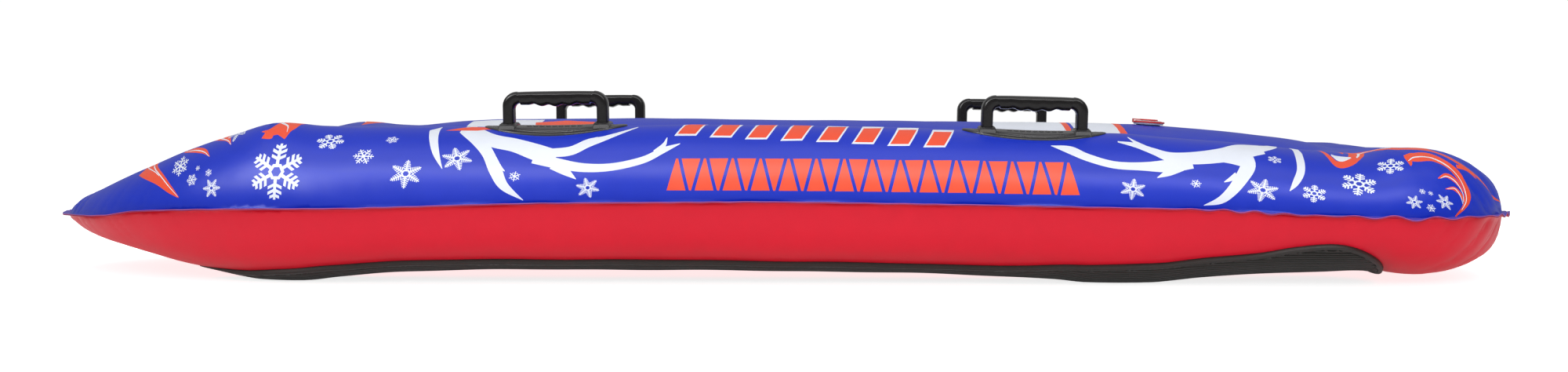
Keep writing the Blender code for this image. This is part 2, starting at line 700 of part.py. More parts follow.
# ---------------------------------------------------------------- inflation valve
def valve_frame():
    reach = WELD_RING_RADIUS
    slope = math.atan2(top_at(VALVE_X + reach, 0.0) - top_at(VALVE_X - reach, 0.0), 2 * reach)
    empty = bpy.data.objects.new("valve_frame", None)
    empty.location = (VALVE_X, 0.0, top_at(VALVE_X, 0.0))
    empty.rotation_euler = (0.0, -slope, 0.0)
    cutters.objects.link(empty)
    return empty, slope


def sheet_fall(radius, slope):
    """How far the sheet falls away from the valve's own plane at a radius, at most."""
    fall = 0.0
    for step in range(TURN_STEPS):
        angle = 2 * math.pi * step / TURN_STEPS
        dx = radius * math.cos(angle)
        dy = radius * math.sin(angle)
        flat = top_at(VALVE_X, 0.0) + dx * math.tan(slope)
        fall = max(fall, flat - top_at(VALVE_X + dx, dy))
    return fall


def make_valve(top_skin, inside):
    frame, slope = valve_frame()
    bore = cylinder_mesh("valve_hole", NECK_RADIUS + GAP, -VALVE_HOLE_REACH, VALVE_HOLE_REACH)
    boolean(top_skin, "DIFFERENCE", add_cutter("valve_hole", bore, frame))

    ring_foot = -SHEET - sheet_fall(WELD_RING_RADIUS, slope) - WELD_RING_THICKNESS - WELD_RING_DROP
    ring_inside = NECK_RADIUS - NECK_WALL / 2
    ring_profile = [(ring_inside, NECK_HEIGHT), (ring_inside, ring_foot),
                    (WELD_RING_RADIUS, ring_foot), (WELD_RING_RADIUS, NECK_HEIGHT)]
    flange = add_part("valve_flange", turned_mesh("valve_flange", ring_profile), "valve_weld", frame)
    boolean(flange, "INTERSECT", inside)
    neck_foot = ring_foot - SHEET / 2
    neck_profile = [(NECK_INSIDE, NECK_HEIGHT), (NECK_INSIDE, neck_foot),
                    (NECK_RADIUS, neck_foot), (NECK_RADIUS, NECK_HEIGHT)]
    neck = add_cutter("valve_neck", turned_mesh("valve_neck", neck_profile), frame)
    boolean(flange, "UNION", neck)

    skirt = NECK_RADIUS + GAP
    seat = NECK_HEIGHT + GAP
    tube_foot = -VALVE_TUBE_DEPTH
    shoulder = VALVE_COLLAR_RADIUS - VALVE_COLLAR_SLOPE
    stem_profile = [(VALVE_BORE, VALVE_COLLAR_HEIGHT), (VALVE_BORE, tube_foot), (VALVE_TUBE_RADIUS, tube_foot),
                    (VALVE_TUBE_RADIUS, seat), (skirt, seat), (skirt, 2 * GAP),
                    (VALVE_COLLAR_RADIUS, 2 * GAP), (VALVE_COLLAR_RADIUS, VALVE_COLLAR_SIDE),
                    (shoulder, VALVE_COLLAR_HEIGHT - VALVE_COLLAR_EDGE / 2),
                    (shoulder - VALVE_COLLAR_EDGE, VALVE_COLLAR_HEIGHT)]
    stem = add_part("valve_stem", turned_mesh("valve_stem", stem_profile), "valve_clear", frame)

    plug_frame = bpy.data.objects.new("plug_hinge", None)
    hinge_x = -(VALVE_COLLAR_RADIUS + TETHER_THICKNESS)
    hinge_z = VALVE_COLLAR_HEIGHT + GAP + PLUG_CAP_THICKNESS / 2
    plug_frame.parent = frame
    plug_frame.location = (hinge_x, 0.0, hinge_z)
    cutters.objects.link(plug_frame)
    shank = VALVE_BORE - GAP
    cap_foot = VALVE_COLLAR_HEIGHT + GAP
    cap_top = cap_foot + PLUG_CAP_THICKNESS
    foot = VALVE_COLLAR_HEIGHT - PLUG_DEPTH
    cap = VALVE_BORE + PLUG_CAP_LIP
    dish = shank - PLUG_DISH_INSET
    dish_floor = cap_top - PLUG_DISH_DEPTH
    plug_profile = [(0.0, dish_floor), (dish, dish_floor), (dish + PLUG_EDGE, cap_top),
                    (cap - PLUG_EDGE, cap_top), (cap, cap_top - PLUG_EDGE), (cap, cap_foot), (shank, cap_foot),
                    (shank - PLUG_TAPER, foot), (0.0, foot)]
    plug = add_part("valve_plug", turned_mesh("valve_plug", plug_profile), "valve_red", plug_frame)
    plug.location = (-hinge_x, 0.0, -hinge_z)
    tab_low = (hinge_x + PLUG_TAB_GAP, -TETHER_WIDTH / 2, cap_foot)
    tab_high = (PLUG_TAB_LAP - cap, TETHER_WIDTH / 2, cap_top)
    boolean(plug, "UNION", add_cutter("plug_tab", box_mesh("plug_tab", tab_low, tab_high), frame))

    reach = VALVE_COLLAR_RADIUS + GAP
    outside = reach + TETHER_THICKNESS
    band_foot = TETHER_TOP - TETHER_BAND
    band = [(reach, TETHER_TOP), (reach, band_foot), (outside, band_foot), (outside, TETHER_TOP)]
    tether = add_part("valve_tether", turned_mesh("valve_tether", band), "valve_red", frame)
    strap_low = (-outside, -TETHER_WIDTH / 2, band_foot)
    strap_high = (-reach - STRAP_INSET, TETHER_WIDTH / 2, cap_top)
    boolean(tether, "UNION", add_cutter("tether_strap", box_mesh("tether_strap", strap_low, strap_high), frame))

    flap_frame = bpy.data.objects.new("flap_hinge", None)
    flap_radius = VALVE_BORE + VALVE_TUBE_WALL / 2
    flap_x = -VALVE_TUBE_RADIUS
    flap_z = tube_foot - GAP - FLAP_LUG_RADIUS
    flap_frame.parent = frame
    flap_frame.location = (flap_x, 0.0, flap_z)
    cutters.objects.link(flap_frame)
    flap_top = tube_foot - GAP
    disc = cylinder_mesh("valve_flap", flap_radius, flap_top - FLAP_THICKNESS, flap_top)
    flap = add_part("valve_flap", disc, "valve_weld", flap_frame)
    flap.location = (-flap_x, 0.0, -flap_z)
    for piece in (flange, stem, plug, tether, flap):
        round_shading(piece)
    return frame, plug_frame, flap_frame


# ---------------------------------------------------------------- assembly
clear_scene()
parts = new_collection(OBJECT_NAME)
cutters = new_collection("cutters")

top_skin = make_sheet("top_skin", top_height, SEAM_HALF, "blue_sheet")
make_sheet("bottom_skin", keel_height, -SEAM_HALF, "red_sheet")
outside = make_envelope("hull_outside", GAP)
inside = make_envelope("hull_inside", -(SHEET + GAP))
make_webs(inside)
for label, side in (("near", -1), ("far", 1)):
    make_runner("runner_" + label, side, outside)
    make_handle("front_" + label, HANDLE_FRONT_X, side, outside)
    make_handle("rear_" + label, HANDLE_REAR_X, side, outside)
valve, plug_hinge, flap_hinge = make_valve(top_skin, inside)
bpy.context.view_layer.update()
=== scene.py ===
"""Looks of the inflatable snow sled: printed sheets, ribbed pads, moulded handles, valve and studio."""
import math

import bmesh
import bpy
import numpy as np
from bpy.props import FloatProperty, FloatVectorProperty, PointerProperty
from mathutils import Euler, Matrix, Vector
from mathutils.geometry import delaunay_2d_cdt


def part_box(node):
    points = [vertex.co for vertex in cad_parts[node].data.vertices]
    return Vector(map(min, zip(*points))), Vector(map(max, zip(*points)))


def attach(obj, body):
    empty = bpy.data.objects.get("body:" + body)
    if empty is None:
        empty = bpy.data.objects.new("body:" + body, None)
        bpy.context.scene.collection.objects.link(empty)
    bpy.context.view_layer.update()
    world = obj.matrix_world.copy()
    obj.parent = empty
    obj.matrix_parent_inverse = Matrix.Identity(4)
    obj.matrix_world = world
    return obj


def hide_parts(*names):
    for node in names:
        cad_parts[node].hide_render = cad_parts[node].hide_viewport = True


bl_info = {
    "name": "Inflatable snow sled",
    "version": (1, 0, 0),
    "blender": (4, 5, 0),
    "location": "3D View > Sidebar > Sled",
    "description": "Builds the skins, runner pads, handles, valve and studio of an inflatable snow sled",
    "category": "Add Mesh",
}

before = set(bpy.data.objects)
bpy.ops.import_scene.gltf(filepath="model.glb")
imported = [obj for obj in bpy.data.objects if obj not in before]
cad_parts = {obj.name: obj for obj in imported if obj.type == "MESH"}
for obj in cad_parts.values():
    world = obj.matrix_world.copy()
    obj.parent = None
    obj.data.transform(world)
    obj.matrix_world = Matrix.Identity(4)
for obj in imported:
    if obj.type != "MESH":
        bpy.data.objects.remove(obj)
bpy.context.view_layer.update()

MM = 0.001
NEAR, FAR = -1, 1
SIDES = {"near": NEAR, "far": FAR}

# ---------------------------------------------------------------- the hull's form, from the frame's own sizes
FLANGE = 9 * MM
FLANGE_SHARES = (0.34, 0.67, 0.93, 1.0)
SHEET = 0.8 * MM
SKIN_LOW, SKIN_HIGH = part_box("top_skin")
HALF_LENGTH = (SKIN_HIGH.x - SKIN_LOW.x) / 2 - FLANGE
HALF_WIDTH = (SKIN_HIGH.y - SKIN_LOW.y) / 2 - FLANGE
TUBE_SHARE = 0.6765
BEAM_SHARE = 0.4118
TUBE_Y = TUBE_SHARE * HALF_WIDTH
HULL_HEIGHT = 193 * MM
BEAM_DIP = 15 * MM
BEAM_FADE = 80 * MM
BEAM_ENDS = (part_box("beam_far")[0].x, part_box("beam_far")[1].x)
CENTRE_LIFT = 12 * MM
NOSE_TAPER = -479 * MM
NOSE_ROUNDNESS = 0.62
TAIL_TAPER = 641 * MM
TAIL_SQUARENESS = 4
TAIL_ROUNDNESS = 0.45
FLANK_RUN = 158 * MM            # round a tube's flank, from seam to crest
HALF_RUN = FLANK_RUN + TUBE_Y   # from seam to the middle
EDGE_ON = 4.0                   # sheet hidden in each length of height above a crest

# (share of the half length, share of the hull's height)
SEAM_LINE = ((-1.000, 0.368), (-0.981, 0.370), (-0.949, 0.385), (-0.906, 0.393), (-0.862, 0.408),
             (-0.819, 0.439), (-0.733, 0.461), (-0.646, 0.473), (-0.517, 0.481), (-0.301, 0.510),
             (-0.085, 0.520), (0.023, 0.522), (0.239, 0.508), (0.455, 0.489), (0.563, 0.478),
             (0.671, 0.449), (0.779, 0.433), (0.833, 0.424), (0.887, 0.430), (0.960, 0.427),
             (1.000, 0.415))
SIDE_CREST = ((-1.000, 0.368), (-0.994, 0.394), (-0.983, 0.422), (-0.970, 0.456), (-0.957, 0.487),
              (-0.927, 0.537), (-0.895, 0.593), (-0.862, 0.652), (-0.819, 0.726), (-0.776, 0.808),
              (-0.733, 0.877), (-0.690, 0.935), (-0.659, 0.979), (-0.638, 0.996), (-0.614, 0.992),
              (-0.587, 0.977), (-0.538, 0.970), (-0.484, 0.973), (-0.382, 0.969), (-0.269, 0.965),
              (-0.161, 0.979), (0.023, 0.981), (0.249, 0.955), (0.354, 0.932), (0.469, 0.927),
              (0.511, 0.913), (0.644, 0.860), (0.694, 0.832), (0.741, 0.813), (0.779, 0.803),
              (0.794, 0.819), (0.811, 0.841), (0.835, 0.842), (0.861, 0.838), (0.887, 0.816),
              (0.908, 0.785), (0.930, 0.744), (0.951, 0.691), (0.968, 0.642), (0.984, 0.570),
              (0.994, 0.497), (1.000, 0.415))
CENTRE_CREST = ((-1.000, 0.368), (-0.994, 0.389), (-0.983, 0.412), (-0.957, 0.466), (-0.927, 0.513),
                (-0.895, 0.565), (-0.862, 0.619), (-0.819, 0.689), (-0.776, 0.762), (-0.733, 0.829),
                (-0.668, 0.896), (-0.603, 0.933), (-0.538, 0.956), (-0.474, 0.984), (-0.426, 1.005),
                (-0.370, 1.015), (-0.179, 1.021), (0.035, 1.010), (0.266, 1.000), (0.506, 0.984),
                (0.583, 0.961), (0.645, 0.935), (0.696, 0.907), (0.752, 0.870), (0.779, 0.839),
                (0.808, 0.801), (0.827, 0.785), (0.849, 0.790), (0.876, 0.811), (0.902, 0.819),
                (0.930, 0.795), (0.951, 0.756), (0.969, 0.694), (0.984, 0.596), (0.994, 0.508),
                (1.000, 0.415))
SIDE_KEEL = ((-1.000, 0.368), (-0.992, 0.355), (-0.979, 0.334), (-0.957, 0.298), (-0.927, 0.251),
             (-0.895, 0.219), (-0.862, 0.187), (-0.819, 0.141), (-0.776, 0.098), (-0.733, 0.070),
             (-0.690, 0.044), (-0.659, 0.028), (-0.603, 0.024), (-0.555, 0.050), (-0.464, 0.085),
             (-0.300, 0.098), (0.028, 0.091), (0.233, 0.075), (0.381, 0.044), (0.427, 0.023),
             (0.503, 0.022), (0.569, 0.058), (0.648, 0.080), (0.725, 0.093), (0.783, 0.098),
             (0.809, 0.070), (0.833, 0.056), (0.860, 0.051), (0.887, 0.063), (0.908, 0.083),
             (0.930, 0.111), (0.951, 0.145), (0.969, 0.187), (0.984, 0.249), (0.994, 0.321),
             (1.000, 0.415))


def through(stations, share):
    """Smooth curve through (share, value) stations, for an array of shares."""
    xs, ys = np.array(stations).T
    share = np.clip(share, xs[0], xs[-1])
    i = np.clip(np.searchsorted(xs, share) - 1, 0, len(xs) - 2)
    before = np.maximum(i - 1, 0)
    beyond = np.minimum(i + 2, len(xs) - 1)
    span = xs[i + 1] - xs[i]
    slope0 = (ys[i + 1] - ys[before]) / (xs[i + 1] - xs[before])
    slope1 = (ys[beyond] - ys[i]) / (xs[beyond] - xs[i])
    t = (share - xs[i]) / span
    rise = 3 * t ** 2 - 2 * t ** 3
    bend0 = span * slope0 * (t ** 3 - 2 * t ** 2 + t)
    bend1 = span * slope1 * (t ** 3 - t ** 2)
    return ys[i] * (1 - rise) + ys[i + 1] * rise + bend0 + bend1


def smooth(value):
    value = np.clip(value, 0.0, 1.0)
    return value * value * (3 - 2 * value)


def half_width(x):
    nose = np.clip((NOSE_TAPER - x) / (NOSE_TAPER + HALF_LENGTH), 0.0, 1.0)
    tail = np.clip((x - TAIL_TAPER) / (HALF_LENGTH - TAIL_TAPER), 0.0, 1.0)
    return HALF_WIDTH * (1 - nose ** 2) ** NOSE_ROUNDNESS * (1 - tail ** TAIL_SQUARENESS) ** TAIL_ROUNDNESS


def seam_height(x):
    return HULL_HEIGHT * through(SEAM_LINE, x / HALF_LENGTH)


def beam_dip(x):
    front = smooth((x - BEAM_ENDS[0]) / BEAM_FADE + 0.5)
    rear = smooth((BEAM_ENDS[1] - x) / BEAM_FADE + 0.5)
    return BEAM_DIP * front * rear


def web_pull(share):
    """1 at a long web, falling to 0 at the crests on both sides of it."""
    reach = np.where(share < BEAM_SHARE, BEAM_SHARE, TUBE_SHARE - BEAM_SHARE)
    return np.clip(1 - np.abs(share - BEAM_SHARE) / reach, 0.0, 1.0) ** 2


def form_height(x, share, upper):
    """Height of the upper or lower sheet at a share of the local half width."""
    share = np.abs(share)
    seam = seam_height(x)
    if upper:
        side = HULL_HEIGHT * through(SIDE_CREST, x / HALF_LENGTH)
        middle = HULL_HEIGHT * through(CENTRE_CREST, x / HALF_LENGTH)
        pull = -beam_dip(x) * web_pull(share)
    else:
        side = HULL_HEIGHT * through(SIDE_KEEL, x / HALF_LENGTH)
        middle = side + CENTRE_LIFT * half_width(x) / HALF_WIDTH
        pull = beam_dip(x) * web_pull(share)
    flank = np.clip((share - TUBE_SHARE) / (1 - TUBE_SHARE), 0.0, 1.0)
    outer = seam + (side - seam) * np.sqrt(1 - flank * flank)
    inner = middle + (side - middle) * smooth(share / TUBE_SHARE)
    return np.where(share >= TUBE_SHARE, outer, inner) + pull


# The flat pattern: p runs along the sled, q across the sheet from the middle, both in metres.
# The pattern narrows to the tips with the hull, so that shapes laid out on it keep their proportions.
def narrowing(p):
    return half_width(p) / HALF_WIDTH


def share_of(p, q):
    run = np.abs(q) / np.maximum(narrowing(p), 1e-4)
    turn = np.clip((HALF_RUN - run) / FLANK_RUN, 0.0, 1.0) * math.pi / 2
    outer = TUBE_SHARE + (1 - TUBE_SHARE) * np.cos(turn)
    return np.sign(q) * np.where(run > TUBE_Y, outer, run / TUBE_Y * TUBE_SHARE)


def form_point(p, q, upper):
    share = share_of(p, q)
    return np.stack([p, share * half_width(p), form_height(p, share, upper)], axis=-1)


def seam_outline(step):
    """The pattern's edge from the nose along the near side to the tail, then back along the far side."""
    turn = np.linspace(0.0, math.pi, 6001)[1:-1]
    x = -HALF_LENGTH * np.cos(turn)
    y = -HALF_RUN * narrowing(x)
    run = np.concatenate([[0.0], np.cumsum(np.hypot(np.diff(x), np.diff(y)))])
    even = np.linspace(0.0, run[-1], int(run[-1] / step))
    near = np.stack([np.interp(even, run, x), np.interp(even, run, y)], axis=-1)
    return np.concatenate([near, near[::-1] * (1, -1)])


OUTLINE = seam_outline(5 * MM)
NEAR_SEAM = OUTLINE[: len(OUTLINE) // 2]
NEAR_SEAM_RUN = np.concatenate([[0.0], np.cumsum(np.hypot(*np.diff(NEAR_SEAM, axis=0).T))])
BLOCK = 4000                    # spots handled at once


def from_seam(p, q):
    """Distance in the pattern to its edge, and the place along the edge counted from the nose."""
    spot = np.stack([p, -np.abs(q)], axis=-1)
    edge, run = NEAR_SEAM, NEAR_SEAM_RUN
    nearest = np.empty(len(spot), int)
    for start in range(0, len(spot), BLOCK):
        block = spot[start: start + BLOCK]
        gaps = ((block[:, None, :] - edge[None, :, :]) ** 2).sum(axis=-1)
        nearest[start: start + BLOCK] = gaps.argmin(axis=1)
    best = np.full(len(spot), np.inf)
    place = np.zeros(len(spot))
    for step in (-1, 0):
        a = np.clip(nearest + step, 0, len(edge) - 2)
        along = edge[a + 1] - edge[a]
        t = np.clip(((spot - edge[a]) * along).sum(axis=-1) / (along ** 2).sum(axis=-1), 0.0, 1.0)
        gap = np.hypot(*(spot - edge[a] - along * t[:, None]).T)
        closer = gap < best
        best = np.where(closer, gap, best)
        place = np.where(closer, run[a] + (run[a + 1] - run[a]) * t, place)
    return best, place


# gathers and folds: their pitch along the seam, and where they are deepest and how far that spreads
GATHER_PITCH = 34 * MM
FOLD_PITCH = 71 * MM
RIPPLE_PITCH = 41 * MM
NOSE_GATHERS, NOSE_SPREAD = 110 * MM, 60 * MM
TAIL_GATHERS, TAIL_SPREAD = 220 * MM, 160 * MM


def peak(run, middle, spread):
    return np.exp(-((run - middle) / spread) ** 2)


def crease(phase):
    """Sharp valleys between round ridges, 0 to 1."""
    return 1 - np.abs(np.sin(phase / 2)) ** 0.7


def wrinkle_depth(p, q, upper):
    """How far the sheet is drawn in by the weld's gathers and by the folds at both ends."""
    gap, run = from_seam(p, q)
    shift = 1.3 * np.sign(q) + (0.0 if upper else 2.1)
    nose = peak(run, NOSE_GATHERS, NOSE_SPREAD)
    tail = peak(NEAR_SEAM_RUN[-1] - run, TAIL_GATHERS, TAIL_SPREAD)
    wander = 1.9 * np.sin(run * 23 + shift) + 1.1 * np.sin(run * 61 + 2 * shift)
    wave = 2 * math.pi * run / GATHER_PITCH + wander
    long_wave = 2 * math.pi * run / FOLD_PITCH + 1.6 * np.sin(run * 17 + 3 * shift)
    reach = 0.016 + 0.010 * np.sin(run * 47 + shift) ** 2
    fine = crease(wave) * np.exp(-gap / reach) * (0.5 + 3.6 * nose + 2.2 * tail)
    folds = crease(long_wave) * np.exp(-gap / (0.045 + 0.03 * tail)) * (0.2 + 0.6 * nose + 5.0 * tail)
    settle = gap / (gap + 3 * MM)
    soft = 0.5 * np.sin(p * 37 + shift) * np.sin(q * 29 + p * 11)
    return MM * ((fine + folds) * settle + soft)


def sheet_point(p, q, upper):
    """The finished sheet: the inflated form with its gathers, in the row frame."""
    point = form_point(p, q, upper)
    normal = form_normal(p, q, upper)
    return point - normal * wrinkle_depth(p, q, upper)[:, None]


def normal_from(function, p, q, upper, step):
    along = function(p + step, q, upper) - function(p - step, q, upper)
    across = function(p, q + step, upper) - function(p, q - step, upper)
    normal = np.cross(along, across) if upper else np.cross(across, along)
    size = np.linalg.norm(normal, axis=-1, keepdims=True)
    return normal / np.maximum(size, 1e-12)


def form_normal(p, q, upper):
    return normal_from(form_point, p, q, upper, 0.5 * MM)


def sheet_normal(p, q, upper):
    return normal_from(sheet_point, p, q, upper, 0.8 * MM)


# ---------------------------------------------------------------- artwork on the flat pattern
def on_flank(x, z, side=NEAR):
    """Pattern place of a point at x and height z, seen from the side. Past the crest the sheet is edge-on."""
    x = np.asarray(x, float)
    z = np.asarray(z, float)
    seam = seam_height(x)
    crest = HULL_HEIGHT * through(SIDE_CREST, x / HALF_LENGTH)
    turn = np.arcsin(np.clip((z - seam) / (crest - seam), 0.0, 1.0))
    run = HALF_RUN - turn / (math.pi / 2) * FLANK_RUN - EDGE_ON * np.maximum(z - crest, 0.0)
    return np.stack([x, side * run * narrowing(x)], axis=-1)


def turned(points, angle):
    cos, sin = math.cos(angle), math.sin(angle)
    return np.asarray(points) @ np.array([[cos, sin], [-sin, cos]])


NOSE_PRINT = -520               # ahead of here, in millimetres, snowflakes are laid out as seen from the side
UPRIGHT_FLAKE = 30              # a snowflake of at least this radius, in millimetres, stands upright
FLAKE_SPURS = {
    # (place on the arm, reach, thickness) as shares of the radius
    "plain": ((0.52, 0.26, 0.085),),
    "star": ((0.40, 0.26, 0.085), (0.66, 0.20, 0.085)),
    "fern": ((0.30, 0.20, 0.060), (0.44, 0.17, 0.060), (0.58, 0.14, 0.060), (0.72, 0.10, 0.055),
             (0.85, 0.07, 0.050)),
    "knob": ((0.44, 0.20, 0.095), (0.64, 0.20, 0.095), (0.83, 0.12, 0.090)),
}
ARM_WIDTH = {"plain": 0.20, "star": 0.15, "fern": 0.11, "knob": 0.13}
HUB_SHARE, HUB_HOLE = 0.27, 0.60  # a ringed hub's reach in the radius, and its hole's share of that


def snowflake(radius, style, tilt):
    """A six-armed crystal: loops of points round its own centre."""
    arm = ARM_WIDTH[style] * radius / 2
    ringed = style in ("fern", "knob")
    foot = 0.22 * radius if ringed else 0.0
    loops = []
    for step in range(6):
        angle = math.pi / 3 * step + tilt
        loops.append(turned([(foot, -arm), (radius, -arm * 0.7), (radius, arm * 0.7), (foot, arm)], angle))
        for place, reach, thickness in FLAKE_SPURS[style]:
            for side in (-1, 1):
                half = thickness * radius / 2
                start, end = place * radius, (place + reach * 0.62) * radius
                tip = side * (reach * radius + arm)
                wide = 1.4 * half
                spur = [(start - half, 0.0), (start + wide, 0.0), (end + wide, tip), (end - half, tip)]
                loops.append(turned(spur, angle))
        if ringed:
            hub = HUB_SHARE * radius
            across = hub * math.tan(math.pi / 6)
            loops.append(turned([(hub * HUB_HOLE, -across * HUB_HOLE), (hub, -across), (hub, across),
                                 (hub * HUB_HOLE, across * HUB_HOLE)], angle))
    return loops


def stroke(points, widths):
    """A tapered brush stroke: one loop round a smooth line through the points."""
    points = np.asarray(points, float)
    count = 6 * (len(points) - 1)
    place = np.linspace(0.0, len(points) - 1, count + 1)
    line = np.stack([through(list(enumerate(column)), place) for column in points.T], axis=-1)
    half = through(list(zip(np.linspace(0, len(points) - 1, len(widths)), widths)), place) / 2
    along = np.gradient(line, axis=0)
    along /= np.linalg.norm(along, axis=-1, keepdims=True)
    across = np.stack([-along[:, 1], along[:, 0]], axis=-1) * half[:, None]
    return np.concatenate([line + across, (line - across)[::-1]])


# brush strokes as (x, height) along the flank and widths, in millimetres
FROST = (
    (((-392, 185), (-388, 173), (-381, 157), (-371, 139)), (12.2, 9.9, 7.5, 0.7)),
    (((-357, 186), (-336, 173), (-320, 157), (-308, 137), (-297, 119), (-274, 102)),
     (12.9, 14.1, 12.9, 14.6, 10.6, 0.7)),
    (((-344, 181), (-317, 171), (-290, 166), (-263, 158), (-239, 151)), (11.8, 14.1, 15.3, 18.8, 18.8)),
    (((-256, 157), (-224, 159), (-203, 168), (-183, 174), (-148, 187)), (9.4, 10.6, 9.9, 5.6, 0.7)),
    (((-265, 152), (-236, 145), (-204, 140), (-170, 141), (-136, 149), (-114, 160), (-94, 168)),
     (14.1, 11.8, 9.9, 8.5, 8.0, 7.0, 0.9)),
    (((-122, 157), (-113, 166), (-110, 175)), (8.0, 5.2, 0.7)),
    (((-241, 145), (-226, 136), (-213, 127)), (14.1, 9.4, 0.7)),
    (((-209, 166), (-201, 171), (-193, 175)), (6.1, 4.2, 0.7)),
    (((-312, 149), (-304, 141), (-297, 136)), (9.4, 5.2, 0.7)),
    (((343, 165), (365, 160), (384, 152), (413, 144), (445, 142), (477, 142), (505, 145)),
     (0.5, 9.4, 8.9, 8.5, 9.4, 14.1, 11.8)),
    (((491, 142), (476, 135), (462, 129)), (11.8, 8.2, 0.9)),
    (((423, 170), (443, 166), (462, 159), (481, 152), (507, 151), (541, 154), (566, 158), (595, 160)),
     (1.4, 5.6, 8.0, 11.8, 14.1, 15.5, 15.5, 9.4)),
    (((437, 175), (444, 169), (454, 163)), (0.9, 3.8, 5.6)),
    (((582, 160), (611, 163), (625, 167), (639, 164), (636, 152), (631, 136), (622, 123), (614, 114)),
     (9.4, 3.8, 6.1, 7.5, 9.4, 8.9, 7.0, 0.9)),
    (((570, 156), (571, 144), (561, 130), (547, 114), (533, 103), (514, 97)),
     (16.4, 16.4, 14.6, 11.8, 8.5, 0.7)),
    (((555, 132), (546, 127), (539, 124)), (7.0, 4.2, 0.9)),
    (((535, 151), (551, 149), (564, 146)), (7.0, 8.5, 9.4)),
)
FLAMES = (
    (((-766, 137), (-731, 125), (-709, 112), (-695, 103)), (21.6, 14.6, 8.5, 1.4)),
    (((-711, 156), (-693, 159), (-674, 158), (-662, 152)), (1.4, 5.6, 5.6, 0.7)),
    (((-688, 168), (-671, 173), (-649, 173), (-637, 166)), (1.4, 5.6, 5.6, 0.7)),
    (((-586, 193), (-573, 186), (-570, 180), (-567, 173)), (44.6, 30.5, 14.1, 0.9)),
    (((-584, 186), (-588, 182), (-600, 181)), (9.4, 6.1, 0.7)),
    (((-578, 182), (-583, 179), (-587, 176)), (8.5, 4.7, 0.7)),
    (((672, 162), (673, 154), (678, 144), (693, 146), (711, 154), (730, 160), (751, 162)),
     (2.3, 5.2, 7.5, 8.0, 8.0, 5.6, 1.4)),
    (((694, 156), (732, 162), (773, 163), (803, 159), (828, 144), (851, 127), (874, 106), (893, 95)),
     (2.3, 4.2, 4.7, 4.2, 3.8, 3.3, 2.8, 0.7)),
    (((760, 151), (773, 152), (792, 152), (809, 144), (820, 131), (826, 115), (826, 104), (819, 93), (808, 83)),
     (6.1, 10.3, 9.4, 8.0, 10.3, 9.4, 9.4, 4.7, 1.4)),
    (((763, 152), (763, 146), (762, 142)), (8.0, 5.2, 0.9)),
    (((791, 128), (803, 131), (814, 124), (821, 112)), (0.9, 5.2, 5.2, 1.4)),
    (((798, 116), (809, 116), (817, 109), (821, 100)), (0.7, 4.2, 3.8, 1.4)),
    (((822, 141), (836, 137), (846, 126)), (3.8, 4.7, 0.7)),
)
FLAME_LINES = (
    (((-752, 139), (-729, 128), (-709, 114), (-696, 104)), (1.2, 1.2, 0.9, 0.5)),
    (((-772, 137), (-745, 133), (-731, 128)), (0.9, 0.9, 0.7)),
    (((-707, 157), (-689, 159), (-673, 157), (-663, 152)), (0.5, 1.2, 0.9, 0.5)),
    (((-684, 169), (-669, 173), (-647, 171), (-637, 166)), (0.5, 1.2, 0.9, 0.5)),
    (((-585, 192), (-572, 188), (-568, 181)), (1.2, 1.2, 0.5)),
    (((707, 151), (722, 157), (734, 161), (759, 163)), (0.9, 1.6, 1.4, 0.5)),
    (((762, 148), (772, 152), (792, 152), (809, 143), (819, 131), (824, 113), (824, 102), (817, 91)),
     (0.7, 1.2, 1.2, 1.2, 1.2, 1.2, 1.2, 0.7)),
    (((794, 128), (803, 130), (813, 124), (820, 111), (820, 100)), (0.5, 1.2, 1.2, 0.9, 0.7)),
    (((800, 116), (810, 116), (816, 108), (819, 98)), (0.5, 0.9, 0.9, 0.7)),
    (((678, 154), (684, 150), (700, 151)), (2.3, 6.1, 0.9)),
)
SNOWFLAKES = (
    # x, height, radius in millimetres, style
    (-702, 140, 12.1, "star"), (-674, 138, 3.3, "plain"), (-657, 133, 4.7, "plain"),
    (-679, 124, 7.4, "star"), (-650, 115, 11.6, "fern"), (-568, 135, 32.6, "knob"),
    (-639, 183, 14.0, "fern"), (-511, 171, 16.7, "knob"), (-466, 153, 12.6, "star"),
    (-437, 172, 7.9, "star"), (-413, 133, 19.5, "fern"), (-355, 151, 18.6, "fern"),
    (-285, 130, 7.0, "plain"), (-199, 117, 14.0, "fern"), (433, 116, 15.3, "fern"),
    (506, 122, 6.5, "plain"), (583, 115, 18.6, "fern"), (604, 149, 8.4, "knob"), (642, 111, 14.4, "knob"),
    (696, 122, 20.9, "knob"), (739, 142, 16.7, "knob"), (757, 101, 10.2, "fern"), (768, 113, 4.2, "plain"),
    (778, 111, 3.3, "plain"), (777, 94, 6.0, "plain"), (795, 101, 11.2, "fern"),
)


# the border of triangles: where its first one stands, its pitch, its heights and how far it falls to the tail
BAND_COUNT, BAND_START, BAND_PITCH = 29, -96 * MM, 16.3 * MM
BAND_LOW, BAND_HIGH, BAND_FALL = 114 * MM, 151 * MM, 5 * MM
BAND_WIDE, BAND_TIP = 11.0 * MM, 1.2 * MM

# the row of leaning bars above it, in millimetres
BAR_COUNT, BAR_START, BAR_PITCH = 8, -82, 42
BAR_HEIGHT, BAR_FALL = 187, 1.9
BAR_HALF_WIDE, BAR_HALF_TALL = 16.5, 8.0
BAR_BORDER = 3.5

